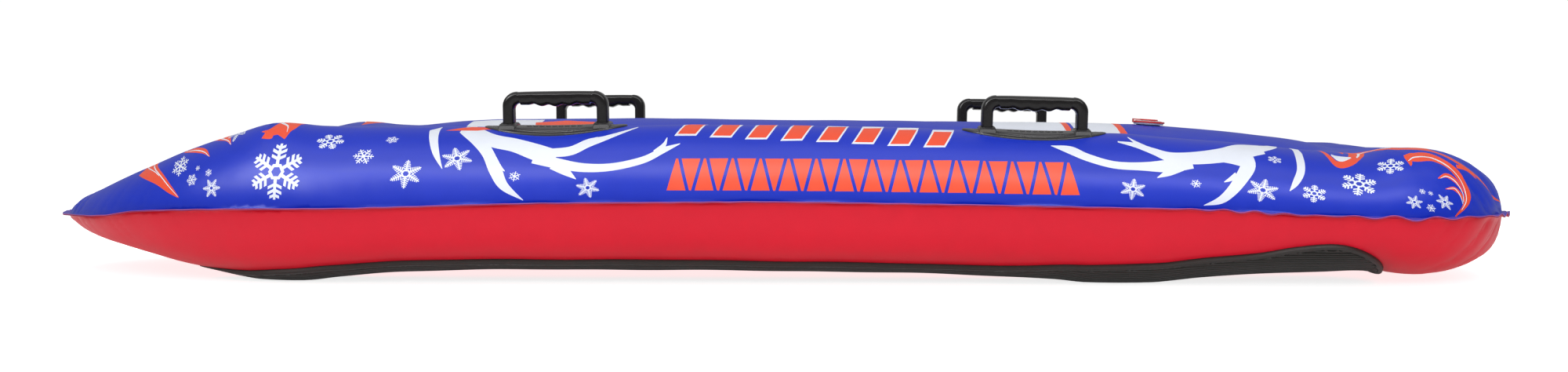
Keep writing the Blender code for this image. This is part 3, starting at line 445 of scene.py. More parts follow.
# print on the centre chamber and between the handles, in millimetres along and across the pattern
WHITE_PANELS = (((292, 384), (-118, 24)), ((396, 452), (-118, 24)), ((-386, -292), (-112, -30)))
ORANGE_PANELS = (((384, 392), (-118, 24)), ((452, 461), (-118, 24)))
ORANGE_WEDGES = (((-378, -262), (-350, -240), (-300, -243), (-340, -262)),
                 ((-292, -120), (-200, -70), (-262, -40), (-300, -60)))


def snow_print():
    loops = []
    for x, z, radius, style in SNOWFLAKES:
        lean = 0.0 if radius >= UPRIGHT_FLAKE else 0.9 * math.sin(0.7 * x)
        for loop in snowflake(radius * MM, style, math.pi / 6 + lean):
            if x < NOSE_PRINT:
                loops.append(on_flank(*(np.array((x, z)) * MM + loop).T))
            else:
                loops.append(on_flank(x * MM, z * MM) + loop)
    return loops


def triangle_band():
    """A border of triangles that point up and down in turn along the middle of the flank."""
    loops = []
    for index in range(BAND_COUNT):
        middle = BAND_START + BAND_PITCH * index
        fall = BAND_FALL * (index / (BAND_COUNT - 1)) ** 2
        low, high = BAND_LOW - fall, BAND_HIGH - fall
        lower, upper = (BAND_WIDE, BAND_TIP) if index % 2 == 0 else (BAND_TIP, BAND_WIDE)
        edge = [(middle - lower, low), (middle + lower, low), (middle + upper, high), (middle - upper, high)]
        loops.append(on_flank(*finer(edge).T))
    return loops


def finer(corners):
    """A closed loop with points added along its sides, so that it bends with the sheet."""
    corners = np.asarray(corners, float)
    after = np.roll(corners, -1, axis=0)
    return np.concatenate([a + (b - a) * np.linspace(0, 1, 6)[:-1, None] for a, b in zip(corners, after)])


def strokes(table):
    return [on_flank(*stroke(np.asarray(spine) * MM, np.asarray(widths) * MM).T) for spine, widths in table]


def panels(table):
    """Rectangles from their ends along and across the pattern."""
    corners = (((x[0], q[0]), (x[1], q[0]), (x[1], q[1]), (x[0], q[1])) for x, q in table)
    return [finer(four) * MM for four in corners]


def bar_row(grow):
    """The row of leaning bars, each grown by a border."""
    loops = []
    for index in range(BAR_COUNT):
        middle, height = BAR_START + BAR_PITCH * index, BAR_HEIGHT - BAR_FALL * index
        wide, tall = BAR_HALF_WIDE + grow, BAR_HALF_TALL + 0.6 * grow
        lean = 0.3 * wide
        edge = [(middle - wide, height - tall), (middle + lean, height - tall), (middle + wide, height + tall),
                (middle - lean, height + tall)]
        loops.append(on_flank(*(finer(edge) * MM).T))
    return loops


def inks():
    """(ink, loops) from the lowest layer of print to the highest, on the near side of the pattern."""
    wedges = [finer(corners) * MM for corners in ORANGE_WEDGES]
    return [
        ("white_ink", strokes(FROST) + bar_row(BAR_BORDER) + panels(WHITE_PANELS)),
        ("orange_ink", triangle_band() + strokes(FLAMES) + bar_row(0) + panels(ORANGE_PANELS) + wedges),
        ("white_ink", snow_print() + strokes(FLAME_LINES)),
    ]


# ---------------------------------------------------------------- meshes
def link(obj):
    bpy.context.scene.collection.objects.link(obj)
    return obj


def stand_in(piece, body, slot, *nodes):
    """The piece rides a body and is seen instead of the frame's nodes."""
    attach(piece, body)
    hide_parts(*nodes)


def wear(piece, material):
    piece.data.materials.clear()
    piece.data.materials.append(material)


def steps(ring):
    """Each point of a closed ring with the next one."""
    return list(zip(ring, ring[1:] + ring[:1]))


def band_faces(rings, size, start=0):
    """Four-sided faces between closed rings of points, numbered one ring after another."""
    faces = []
    for ring in range(start, start + (rings - 1) * size, size):
        for a, b in steps(list(range(ring, ring + size))):
            faces.append((a, b, b + size, a + size))
    return faces


def pattern_points():
    """Points inside the pattern: close together by the seam, wider apart inside."""
    fine = 5 * MM
    along = np.arange(-HALF_LENGTH, HALF_LENGTH, fine)
    across = np.arange(-HALF_RUN, HALF_RUN + fine, fine)
    spots = np.stack(np.meshgrid(along, across, indexing="ij"), axis=-1).reshape(-1, 2)
    column, row = np.meshgrid(np.arange(len(along)), np.arange(len(across)), indexing="ij")
    coarse = ((column % 2 == 0) & (row % 2 == 0)).ravel()
    inside = np.abs(spots[:, 1]) < HALF_RUN * narrowing(spots[:, 0]) - 2 * MM
    spots, coarse = spots[inside], coarse[inside]
    gap, _ = from_seam(spots[:, 0], spots[:, 1])
    keep = (gap > 2.5 * MM) & (coarse | (gap < 34 * MM))
    return spots[keep]


def anticlockwise(loop):
    loop = np.asarray(loop, float)
    after = np.roll(loop, -1, axis=0)
    area = (loop[:, 0] * after[:, 1] - after[:, 0] * loop[:, 1]).sum()
    return loop if area > 0 else loop[::-1]


def cut_pattern(layers, holes):
    """Triangles of the flat pattern, each with the name of its ink, or none inside a hole."""
    verts = [OUTLINE]
    faces = [list(range(len(OUTLINE)))]
    names = ["base"]
    start = len(OUTLINE)
    for name, loops in layers + [("hole", holes)]:
        for loop in loops:
            loop = anticlockwise(loop)
            verts.append(loop)
            faces.append(list(range(start, start + len(loop))))
            names.append(name)
            start += len(loop)
    verts.append(pattern_points())
    cloud = np.concatenate(verts)
    result = delaunay_2d_cdt([Vector(v) for v in cloud], [], faces, 0, 1e-6, True)
    spots = np.array([tuple(v) for v in result[0]])
    triangles, ink = [], []
    for face, owners in zip(result[2], result[5]):
        if 0 not in owners:
            continue
        name = names[max(owners)]
        if name != "hole":
            triangles.append(face)
            ink.append(name)
    return spots, np.array(triangles), ink


def weld_flange(ring, run, q, weld):
    """Rings of points outward from the seam to the flange's edge."""
    along = np.roll(ring, -1, axis=0) - np.roll(ring, 1, axis=0)
    outward = np.stack([along[:, 1], -along[:, 0], np.zeros(len(ring))], axis=-1) * weld
    outward /= np.linalg.norm(outward, axis=-1, keepdims=True)
    rings = []
    for share in FLANGE_SHARES:
        spot = ring + outward * FLANGE * share
        spot[:, 2] += flange_wave(run, q) * share
        rings.append(spot)
    return rings


def skin_mesh(name, upper, layers, holes, slots):
    """A closed sheet with its half of the weld flange: outer face, inner face and rim."""
    spots, triangles, ink = cut_pattern(layers, holes)
    used = np.unique(triangles)
    renumber = np.full(len(spots), -1)
    renumber[used] = np.arange(len(used))
    spots, triangles = spots[used], renumber[triangles]
    p, q = spots.T
    outer = sheet_point(p, q, upper)
    normals = sheet_normal(p, q, upper)
    weld = 1 if upper else -1
    gap, _ = from_seam(p, q)
    outer[:, 2] += weld * (SHEET + 0.1 * MM) * np.exp(-gap / (8 * MM))
    if not upper:
        triangles = triangles[:, ::-1]
    rims = boundary_rings(triangles)
    seam = rims.pop()
    _, run = from_seam(p[seam], q[seam])
    welded = np.concatenate(weld_flange(outer[seam], run, q[seam], weld))
    points = np.concatenate([outer, welded])
    inside = points - np.concatenate([normals * SHEET, np.tile((0.0, 0.0, weld * SHEET), (len(welded), 1))])
    count = len(points)
    flange = [seam] + [list(range(start, start + len(seam))) for start in range(len(outer), count, len(seam))]
    faces = [tuple(int(i) for i in t) for t in triangles]
    kinds = list(ink)
    for inner_ring, outer_ring in zip(flange, flange[1:]):
        for (a, b), (c, d) in zip(steps(inner_ring), steps(outer_ring)):
            faces.append((b, a, c, d))
            kinds.append("flange")
    kinds += ["inside"] * len(faces)
    faces += [tuple(i + count for i in reversed(face)) for face in faces]
    for ring, kind in [(flange[-1], "edge")] + [(rim, "inside") for rim in rims]:
        for a, b in steps(ring):
            faces.append((b, a, a + count, b + count))
            kinds.append(kind)
    mesh = bpy.data.meshes.new(name)
    mesh.from_pydata([tuple(v) for v in np.concatenate([points, inside])], [], faces)
    order = list(slots)
    for material in slots.values():
        mesh.materials.append(material)
    mesh.polygons.foreach_set("material_index", [order.index(kind) for kind in kinds])
    mesh.shade_smooth()
    seam_edges = {frozenset(pair) for ring in (seam, flange[-1]) for pair in steps(ring)}
    sharp = [frozenset(edge.vertices) in seam_edges for edge in mesh.edges]
    mesh.attributes.new("sharp_edge", "BOOLEAN", "EDGE").data.foreach_set("value", sharp)
    custom = np.zeros((len(mesh.loops), 3))
    corners = len(triangles) * 3
    custom[:corners] = normals[triangles.ravel()]
    mesh.normals_split_custom_set([tuple(n) for n in custom])
    mesh.update()
    return link(bpy.data.objects.new(name, mesh))


def flange_wave(run, q):
    """The weld flange ripples where it is short of cloth, towards the tail and at the nose tip."""
    tail = smooth((0.85 - (NEAR_SEAM_RUN[-1] - run)) / 0.35)
    nose = peak(run, 0.0, 0.10)
    phase = 2 * math.pi * run / RIPPLE_PITCH + 1.4 * np.sin(run * 19 + np.sign(q))
    ripple = np.sin(phase) * (0.6 + 0.4 * np.sin(run * 31))
    return MM * (ripple * (0.25 + 2.6 * tail) + nose * 3.0)


# ---------------------------------------------------------------- runner pads
RUNNER_LOW, RUNNER_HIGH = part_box("runner_far")
RUNNER_FRONT, RUNNER_REAR = RUNNER_LOW.x, RUNNER_HIGH.x
RUNNER_THICKNESS = 5.5 * MM
RUNNER_END = 90 * MM
RUNNER_END_SQUARENESS = 2.4
RUNNER_FEATHER = 90 * MM        # length over which the front tip thickens
RUNNER_STATIONS = 260
RUNNER_BUNCHING = 0.65          # share of the stations that crowd towards the ends
RIB_PITCH = 5.2 * MM
RIB_DEPTH = 2.3 * MM
RIM_WIDTH = 5.0 * MM
# (share of the runner's length, its half width as a share of the reach from a tube's crest to the seam)
RUNNER_EDGE = ((0.0, 0.08), (0.011, 0.22), (0.042, 0.36), (0.080, 0.49), (0.115, 0.54), (0.180, 0.53),
               (0.290, 0.51), (0.429, 0.50), (0.568, 0.48), (0.637, 0.48), (0.696, 0.53), (0.759, 0.645),
               (0.790, 0.68), (0.821, 0.69), (0.884, 0.755), (0.915, 0.835), (0.946, 0.875), (1.0, 0.88))


def pattern_run(x, share):
    """Distance from the middle of the flat pattern, along it, of a share of the half width."""
    flank = np.clip((share - TUBE_SHARE) / (1 - TUBE_SHARE), 0.0, 1.0)
    outer = HALF_RUN - np.arccos(flank) / (math.pi / 2) * FLANK_RUN
    return np.where(share > TUBE_SHARE, outer, share / TUBE_SHARE * TUBE_Y) * narrowing(x)


def runner_outline():
    """The pad's edge as (x, distance outward from the tube's crest along the sheet), anticlockwise."""
    even = np.linspace(0, 1, RUNNER_STATIONS)
    ease = (1 - np.cos(math.pi * even)) / 2
    x = RUNNER_FRONT + (RUNNER_REAR - RUNNER_FRONT) * (even + RUNNER_BUNCHING * (ease - even))
    end = np.maximum(1 - (RUNNER_REAR - x) / RUNNER_END, 0.0)
    rounding = np.maximum(1 - end ** RUNNER_END_SQUARENESS, 0.0) ** (1 / RUNNER_END_SQUARENESS)
    share = (x - RUNNER_FRONT) / (RUNNER_REAR - RUNNER_FRONT)
    half = (HALF_WIDTH - TUBE_Y) * through(RUNNER_EDGE, share) * rounding
    crest = pattern_run(x, np.full_like(x, TUBE_SHARE))
    outer = pattern_run(x, TUBE_SHARE + half / half_width(x)) - crest
    inner = pattern_run(x, TUBE_SHARE - half / half_width(x)) - crest
    line = np.concatenate([np.stack([x, inner], axis=-1), np.stack([x, outer], axis=-1)[::-1][1:]])
    run = np.concatenate([[0.0], np.cumsum(np.hypot(*np.diff(line, axis=0).T))])
    even = np.linspace(0.0, run[-1], int(run[-1] / (5 * MM)))
    return np.stack([np.interp(even, run, line[:, 0]), np.interp(even, run, line[:, 1])], axis=-1)


def inset(loop, distance):
    along = np.roll(loop, -1, axis=0) - np.roll(loop, 1, axis=0)
    along /= np.linalg.norm(along, axis=-1, keepdims=True)
    return loop + np.stack([-along[:, 1], along[:, 0]], axis=-1) * distance


def loop_gap(spots, loop):
    """Shortest distance from each spot to a closed loop."""
    a, b = loop, np.roll(loop, -1, axis=0)
    along = b - a
    size = (along ** 2).sum(axis=-1)
    best = np.empty(len(spots))
    for start in range(0, len(spots), 2000):
        block = spots[start: start + 2000, None, :]
        t = np.clip(((block - a) * along).sum(axis=-1) / size, 0.0, 1.0)
        best[start: start + 2000] = np.linalg.norm(block - a - along * t[..., None], axis=-1).min(axis=1)
    return best


def contains(loop, spots):
    a, b = loop, np.roll(loop, -1, axis=0)
    inside = np.zeros(len(spots), bool)
    for (ax, ay), (bx, by) in zip(a, b):
        if ay != by:
            crosses = (ay > spots[:, 1]) != (by > spots[:, 1])
            inside ^= crosses & (spots[:, 0] < (bx - ax) * (spots[:, 1] - ay) / (by - ay) + ax)
    return inside


def runner_lift(gap, offset):
    """Height of the pad over the sheet: a rounded plain rim, and ribs inside it."""
    rim = np.interp(gap, np.array((0.0, 0.5, 1.2, 2.2)) * MM, (0.34, 0.78, 0.95, 1.0))
    phase = np.abs(offset / RIB_PITCH % 1.0 - 0.5) * 2
    valley = np.interp(phase, (0.38, 0.68), (0.0, 1.0))
    ribbed = np.clip((gap - RIM_WIDTH) / (0.7 * MM), 0.0, 1.0)
    fall = np.interp(gap, (RIM_WIDTH, RIM_WIDTH + 1.2 * MM), (0.0, 0.25)) * RIB_DEPTH
    return RUNNER_THICKNESS * rim - RIB_DEPTH * valley * ribbed * 0.75 - fall


def runner_pattern():
    """Spots, triangles and lifts of a pad, laid flat. Both pads share it."""
    outline = runner_outline()
    insets = (0.5 * MM, 1.2 * MM, 2.2 * MM, RIM_WIDTH, RIM_WIDTH + 0.7 * MM)
    loops = [outline] + [inset(outline, distance) for distance in insets]
    rows = np.arange(RUNNER_FRONT, RUNNER_REAR, 7 * MM)
    count = int(0.14 / RIB_PITCH)
    columns = (np.arange(-count, count)[:, None] + np.array((0.16, 0.31, 0.69, 0.84))).ravel() * RIB_PITCH
    x, w = np.meshgrid(rows, columns, indexing="ij")
    spots = np.stack([x.ravel(), w.ravel()], axis=-1)
    spots = spots[contains(loops[-1], spots)]
    spots = spots[loop_gap(spots, outline) > RIM_WIDTH + 1.0 * MM]
    size = len(outline)
    edges = []
    for ring in range(1, len(loops)):
        edges += steps(list(range(size * ring, size * (ring + 1))))
    cloud = np.concatenate(loops + [spots])
    result = delaunay_2d_cdt([Vector(v) for v in cloud], edges, [list(range(size))], 0, 1e-6, True)
    spots = np.array([tuple(v) for v in result[0]])
    triangles = np.array([f for f, owners in zip(result[2], result[5]) if owners])
    gap = loop_gap(spots, outline)
    return spots, triangles, runner_lift(gap, spots[:, 1])


def boundary_rings(triangles):
    """Closed chains of vertices round a triangulated patch, in the direction of its own edges."""
    edges = np.concatenate([triangles[:, [0, 1]], triangles[:, [1, 2]], triangles[:, [2, 0]]])
    known = {(int(a), int(b)) for a, b in edges}
    after = {a: b for a, b in known if (b, a) not in known}
    rings = []
    while after:
        first = next(iter(after))
        ring = [first]
        step = after.pop(first)
        while step != first:
            ring.append(step)
            step = after.pop(step)
        rings.append(ring)
    return sorted(rings, key=len)


def runner_mesh(name, side, pattern):
    spots, triangles, lift = pattern
    x, w = spots.T
    q = side * (pattern_run(x, np.full_like(x, TUBE_SHARE)) + w)
    sheet = sheet_point(x, q, False)
    normal = sheet_normal(x, q, False)
    down = np.maximum(-normal[:, 2], 1e-3)
    room = np.where(normal[:, 2] < -0.3, sheet[:, 2] / down, 1.0)
    feather = 0.22 + 0.78 * smooth((x - RUNNER_FRONT) / RUNNER_FEATHER)
    outer = sheet + normal * (lift * feather * np.clip(room / RUNNER_THICKNESS, 0.3, 1.0))[:, None]
    outer[:, 2] = np.maximum(outer[:, 2], 0.0)
    inner = sheet + normal * 0.2 * MM
    if side == FAR:
        triangles = triangles[:, ::-1]
    triangles = triangles[:, ::-1]
    count = len(outer)
    faces = [tuple(int(i) for i in t) for t in triangles]
    faces += [tuple(int(i) + count for i in reversed(t)) for t in triangles]
    for ring in boundary_rings(triangles):
        faces += [(b, a, a + count, b + count) for a, b in steps(ring)]
    return solid(name, np.concatenate([outer, inner]), faces)


def solid(name, points, faces, smooth_angle=40):
    """An object from points and faces, shaded smooth up to an angle."""
    mesh = bpy.data.meshes.new(name)
    mesh.from_pydata([tuple(point) for point in points], [], faces)
    mesh.shade_smooth()
    mesh.set_sharp_from_angle(angle=math.radians(smooth_angle))
    return link(bpy.data.objects.new(name, mesh))


# ---------------------------------------------------------------- handles
GRIP_LENGTH = 128 * MM
GRIP_HEIGHT = 40.8 * MM
GRIP_POST = 14.2 * MM
GRIP_BAR = 13.5 * MM
GRIP_BOW = 2.2 * MM
GRIP_WIDTH = 26 * MM
GRIP_CORNER = 17 * MM
GRIP_SQUARENESS = 3.6           # of its rounded rectangular section
PARTING_LINE = 0.35 * MM
FINGER_COUNT = 4
FINGER_PITCH = 17.3 * MM
FINGER_DEPTH = 2.2 * MM
HANDLE_Y = TUBE_Y + 0.05 * (HALF_WIDTH - TUBE_Y)
PLATE_LENGTH = 173 * MM
PLATE_WIDTH = 88 * MM
PLATE_FIELD = 3.2 * MM
PLATE_ROOT = 6 * MM             # how far the plate reaches into the sheet
# (share of the plate's outline, height above the sheet in millimetres): edge, rim, groove, step and field
PLATE_LEVELS = ((1.0, 0.1), (1.0, 0.9), (0.996, 1.4), (0.985, 1.7), (0.968, 1.95), (0.945, 2.0), (0.87, 2.0),
                (0.862, 1.5), (0.842, 1.5), (0.834, 2.0), (0.80, 2.05), (0.788, 2.3), (0.772, 2.9),
                (0.757, 3.15), (0.735, 3.2), (0.55, 3.2), (0.35, 3.2), (0.15, 3.2))
COLLAR_HEIGHT = 4.2 * MM
COLLAR_WIDTH = 60 * MM
COLLAR_WALL = 2.9 * MM
COLLAR_FALL, COLLAR_END_FALL = 4.8, 4.0  # of its arch to the sides, and more at the ends, in millimetres
COLLAR_END_SHARE = 0.8
# (share of the collar's half thickness, height against its top in millimetres)
COLLAR_EDGE = ((-1.0, -14.0), (-1.0, -2.4), (-0.97, -1.1), (-0.90, -0.4), (-0.80, 0.0), (0.80, 0.0),
               (0.90, -0.4), (0.97, -1.1), (1.0, -2.4), (1.0, -14.0))
POCKET_DEPTH = 5.5 * MM
POCKET_GAP = 0.3 * MM
STUD_COUNT, STUD_PITCH, STUD_OFFSET = 9, 7.6 * MM, 15 * MM
STUD_CORNERS = ((-3.0, 0.0), (0.6, 1.7), (3.0, 0.0), (-0.6, -1.7))
STUD_LEVELS = ((1.6, 1.0), (3.55, 1.0), (3.75, 0.86))  # (height above the sheet, share of the outline)


def handle_place(label):
    low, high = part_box(f"handle_grip_{label}_far")
    return (low.x + high.x) / 2


def top_at(x, y):
    x, y = np.broadcast_arrays(np.asarray(x, float), np.asarray(y, float))
    return form_height(x, y / half_width(x), True)


def sheet_top_at(x, y):
    """Height of the finished top sheet, gathers included, near a crest where it lies almost level."""
    x, y = (np.atleast_1d(v).astype(float) for v in np.broadcast_arrays(x, y))
    q = np.sign(y) * pattern_run(x, np.abs(y) / half_width(x))
    return form_height(x, y / half_width(x), True) - wrinkle_depth(x, q, True)


def handle_matrix(x, y):
    reach = PLATE_LENGTH / 3
    pitch = math.atan2(float(top_at(x + reach, y)) - float(top_at(x - reach, y)), 2 * reach)
    reach = GRIP_WIDTH / 2
    roll = math.atan2(float(top_at(x, y + reach)) - float(top_at(x, y - reach)), 2 * reach)
    place = Vector((x, y, float(top_at(x, y)) + PLATE_FIELD))
    return Matrix.Translation(place) @ Euler((roll, -pitch, 0.0)).to_matrix().to_4x4()


def grip_stations():
    """Pairs of outer and inner points of the grip's side view, from one post's foot to the other's."""
    half = GRIP_LENGTH / 2
    inner_half = half - GRIP_POST
    ceiling = GRIP_HEIGHT - GRIP_BAR
    inner_corner = (inner_half - FINGER_COUNT * FINGER_PITCH / 2) / 2
    foot = COLLAR_HEIGHT - POCKET_DEPTH
    pairs = []
    for share in np.linspace(0, 1, 9):
        pairs.append(((-half, foot + (GRIP_HEIGHT - GRIP_CORNER - foot) * share),
                      (-inner_half, foot + (ceiling - inner_corner - foot) * share)))
    for angle in np.radians(np.linspace(180, 90, 15))[1:]:
        cos, sin = math.cos(angle), math.sin(angle)
        pairs.append(((-half + GRIP_CORNER * (1 + cos), GRIP_HEIGHT - GRIP_CORNER * (1 - sin)),
                      (-inner_half + inner_corner * (1 + cos), ceiling - inner_corner * (1 - sin))))
    post = list(pairs)
    bar_outer, bar_inner = half - GRIP_CORNER, inner_half - inner_corner
    for share in np.linspace(-1, 1, 105)[1:-1]:
        across = bar_inner * share
        place = across / FINGER_PITCH
        grooved = abs(place) <= FINGER_COUNT / 2
        ripple = (1 + math.cos(2 * math.pi * place)) / 2 if grooved else 1.0
        bow = GRIP_BOW * (1 - (2 * place / FINGER_COUNT) ** 2) if grooved else 0.0
        crown = 0.5 * MM * (1 - share ** 4)
        under = ceiling - bow - FINGER_DEPTH * ripple ** 0.8
        pairs.append(((bar_outer * share, GRIP_HEIGHT - 0.5 * MM + crown), (across, under)))
    return pairs + [((-o[0], o[1]), (-i[0], i[1])) for o, i in reversed(post)]


def grip_mesh(name, matrix):
    """A moulded bail: a rounded rectangular section with a fine parting line swept along the stations."""
    turns = np.linspace(0, 2 * math.pi, 37)[:-1]
    cos, sin = np.cos(turns), np.sin(turns)
    across = np.sign(cos) * np.abs(cos) ** (2 / GRIP_SQUARENESS)
    wide = np.sign(sin) * np.abs(sin) ** (2 / GRIP_SQUARENESS)
    ridge = PARTING_LINE * (np.abs(sin) < 1e-6)
    points = []
    stations = grip_stations()
    for outer, inner in stations:
        outer, inner = np.array(outer), np.array(inner)
        middle = (outer + inner) / 2
        reach = np.linalg.norm(outer - inner) / 2
        toward = (outer - inner) / (2 * reach)
        for a, b, extra in zip(across, wide, ridge):
            spot = middle + toward * (a * reach + np.sign(a) * extra)
            points.append(matrix @ Vector((spot[0], b * (GRIP_WIDTH / 2 - 0.2 * MM), spot[1])))
    size = len(turns)
    faces = band_faces(len(stations), size)
    faces.append(tuple(reversed(range(size))))
    faces.append(tuple(range(len(points) - size, len(points))))
    return facing_out(solid(name, points, faces, 50))


def facing_out(piece):
    """The piece, with all its faces turned outward."""
    work = bmesh.new()
    work.from_mesh(piece.data)
    bmesh.ops.recalc_face_normals(work, faces=work.faces)
    work.to_mesh(piece.data)
    work.free()
    return piece


def plate_mesh(name, x, y):
    """A lens-shaped base that hugs the tube: rounded edge, plain rim, groove, step and raised field."""
    segments = 128
    turn = np.linspace(0, 2 * math.pi, segments + 1)[:-1]
    rings = []
    for share, lift in PLATE_LEVELS:
        px = x + share * PLATE_LENGTH / 2 * np.cos(turn)
        py = y + share * PLATE_WIDTH / 2 * np.sin(turn)
        base = sheet_top_at(px, py) if lift < 1.0 else top_at(px, py)
        rings.append(np.stack([px, py, base + lift * MM], axis=-1))
    rings.insert(0, rings[0] - (0, 0, PLATE_ROOT))
    points = [tuple(p) for ring in rings for p in ring]
    crown, under = len(points), len(points) + 1
    points += [(x, y, float(top_at(x, y)) + PLATE_FIELD), (x, y, float(top_at(x, y)) - PLATE_ROOT)]
    faces = band_faces(len(rings), segments)
    last = (len(rings) - 1) * segments
    for a, b in steps(list(range(segments))):
        faces.append((last + a, last + b, crown))
        faces.append((b, a, under))
    return solid(name, points, faces)


def collar_mesh(name, matrix, end):
    """The raised saddle round a post: an arch across the tube with rounded edges and moulded ribs."""
    half = COLLAR_WIDTH / 2
    reach = GRIP_POST / 2 + COLLAR_WALL
    shares = np.concatenate([[-1.0, -0.985, -0.95], np.linspace(-0.9, 0.9, 37), [0.95, 0.985, 1.0]])
    points = []
    for share in shares:
        end_fall = COLLAR_END_FALL * max(abs(share) - COLLAR_END_SHARE, 0.0) / (1 - COLLAR_END_SHARE)
        rib = 0.5 * max(math.cos(share * 37 / 2 * math.pi), 0.0) if 0.50 < abs(share) < 0.88 else 0.0
        top = COLLAR_HEIGHT / MM - COLLAR_FALL * share ** 2 - end_fall + rib
        for run, drop in COLLAR_EDGE:
            points.append(matrix @ Vector((end + run * reach, share * half, (top + drop) * MM)))
    size = len(COLLAR_EDGE)
    faces = band_faces(len(shares), size)
    faces.append(tuple(range(size)))
    faces.append(tuple(reversed(range(len(points) - size, len(points)))))
    return facing_out(solid(name, points, faces))


def stud_mesh(name, x, y, side):
    """A row of small raised lozenges on the outward slope of the field."""
    points, faces = [], []
    corners, levels = len(STUD_CORNERS), len(STUD_LEVELS)
    for index in range(STUD_COUNT):
        centre_x = x + (index - STUD_COUNT // 2) * STUD_PITCH
        centre_y = y + side * STUD_OFFSET
        start = len(points)
        for lift, size in STUD_LEVELS:
            for dx, dy in STUD_CORNERS:
                px, py = centre_x + dx * size * MM, centre_y + dy * size * MM
                points.append((px, py, float(top_at(px, py)) + lift * MM))
        faces += band_faces(levels, corners, start)
        faces.append(tuple(range(len(points) - corners, len(points))))
        faces.append(tuple(reversed(range(start, start + corners))))
    return facing_out(solid(name, points, faces))


def block_mesh(name, matrix, low, high):
    work = bmesh.new()
    bmesh.ops.create_cube(work, size=1.0)
    bmesh.ops.scale(work, vec=Vector(high) - Vector(low), verts=work.verts)
    bmesh.ops.translate(work, vec=(Vector(high) + Vector(low)) / 2, verts=work.verts)
    bmesh.ops.transform(work, matrix=matrix, verts=work.verts)
    mesh = bpy.data.meshes.new(name)
    work.to_mesh(mesh)
    work.free()
    return link(bpy.data.objects.new(name, mesh))


def combine(piece, operation, others):
    """Joins or cuts piece with the others for good, and removes them."""
    for other in others:
        modifier = piece.modifiers.new(operation, "BOOLEAN")
        modifier.operation = operation
        modifier.solver = "EXACT"
        modifier.object = other
    bpy.context.view_layer.update()
    evaluated = piece.evaluated_get(bpy.context.evaluated_depsgraph_get())
    mesh = bpy.data.meshes.new_from_object(evaluated)
    piece.modifiers.clear()
    piece.data = mesh
    mesh.shade_smooth()
    mesh.set_sharp_from_angle(angle=math.radians(32))
    for other in others:
        bpy.data.objects.remove(other, do_unlink=True)


def base_mesh(label, side_name, x, y):
    matrix = handle_matrix(x, y)
    post = GRIP_LENGTH / 2 - GRIP_POST / 2
    base = plate_mesh(f"base_{label}_{side_name}", x, y)
    ends = [collar_mesh("collar", matrix, end * post) for end in (-1, 1)]
    combine(base, "UNION", ends + [stud_mesh("studs", x, y, SIDES[side_name])])
    half_x, half_y = GRIP_POST / 2 + POCKET_GAP, GRIP_WIDTH / 2 + POCKET_GAP
    low = (-half_x, -half_y, COLLAR_HEIGHT - POCKET_DEPTH - POCKET_GAP)
    high = (half_x, half_y, 3 * COLLAR_HEIGHT)
    places = [matrix @ Matrix.Translation((end * post, 0, 0)) for end in (-1, 1)]
    combine(base, "DIFFERENCE", [block_mesh("pocket", place, low, high) for place in places])
    return base


# ---------------------------------------------------------------- inflation valve
VALVE_LOW, VALVE_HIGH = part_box("valve_stem")
VALVE_X = (VALVE_LOW.x + VALVE_HIGH.x) / 2
HOLE_RADIUS = 15 * MM
TURNED_STEPS = 72
# (radius, height) loops turned round the valve's axis, in millimetres
STEM_PROFILE = ((10.0, 5.8), (10.0, -11.0), (12.8, -11.0), (12.8, 2.5), (15.5, 2.5), (15.5, 0.6), (19.1, 0.6),
                (19.4, 0.9), (19.5, 1.4), (19.5, 2.9), (19.3, 3.5), (18.9, 4.0), (17.4, 5.0), (16.9, 5.5),
                (16.3, 5.75), (13.6, 5.8), (13.3, 5.5), (12.7, 5.5), (12.4, 5.8), (10.3, 5.8))
STOPPER_PROFILE = ((0, 6.7), (4.2, 6.7), (6.6, 6.72), (6.9, 6.85), (7.3, 7.55), (7.6, 7.7), (11.5, 7.7),
                   (11.9, 7.6), (12.15, 7.3), (12.2, 6.4), (12.1, 6.1), (9.7, 6.1), (9.7, 5.4), (8.6, 0.5),
                   (8.3, 0.3), (0, 0.3))
BAND_PROFILE = ((19.8, 5.0), (19.8, 2.7), (20.8, 2.7), (21.0, 3.0), (21.0, 4.7), (20.8, 5.0))
# opposite corners of the stopper's tab and of the strap it hangs from, in millimetres
TAB = ((-19.3, -3.5, 6.1), (-10.6, 3.5, 7.5))
STRAP = ((-21.0, -3.5, 2.8), (-19.9, 3.5, 7.6))


def valve_hole():
    """The round hole in the top sheet. The sheet is level there, so it is round on the pattern too."""
    turn = np.linspace(0, 2 * math.pi, 33)[:-1]
    return [np.stack([VALVE_X + HOLE_RADIUS * np.cos(turn), HOLE_RADIUS * np.sin(turn)], axis=-1)]


def valve_matrix():
    reach = 29 * MM
    slope = math.atan2(float(top_at(VALVE_X + reach, 0)) - float(top_at(VALVE_X - reach, 0)), 2 * reach)
    return Matrix.Translation((VALVE_X, 0, float(top_at(VALVE_X, 0)))) @ Matrix.Rotation(-slope, 4, "Y")


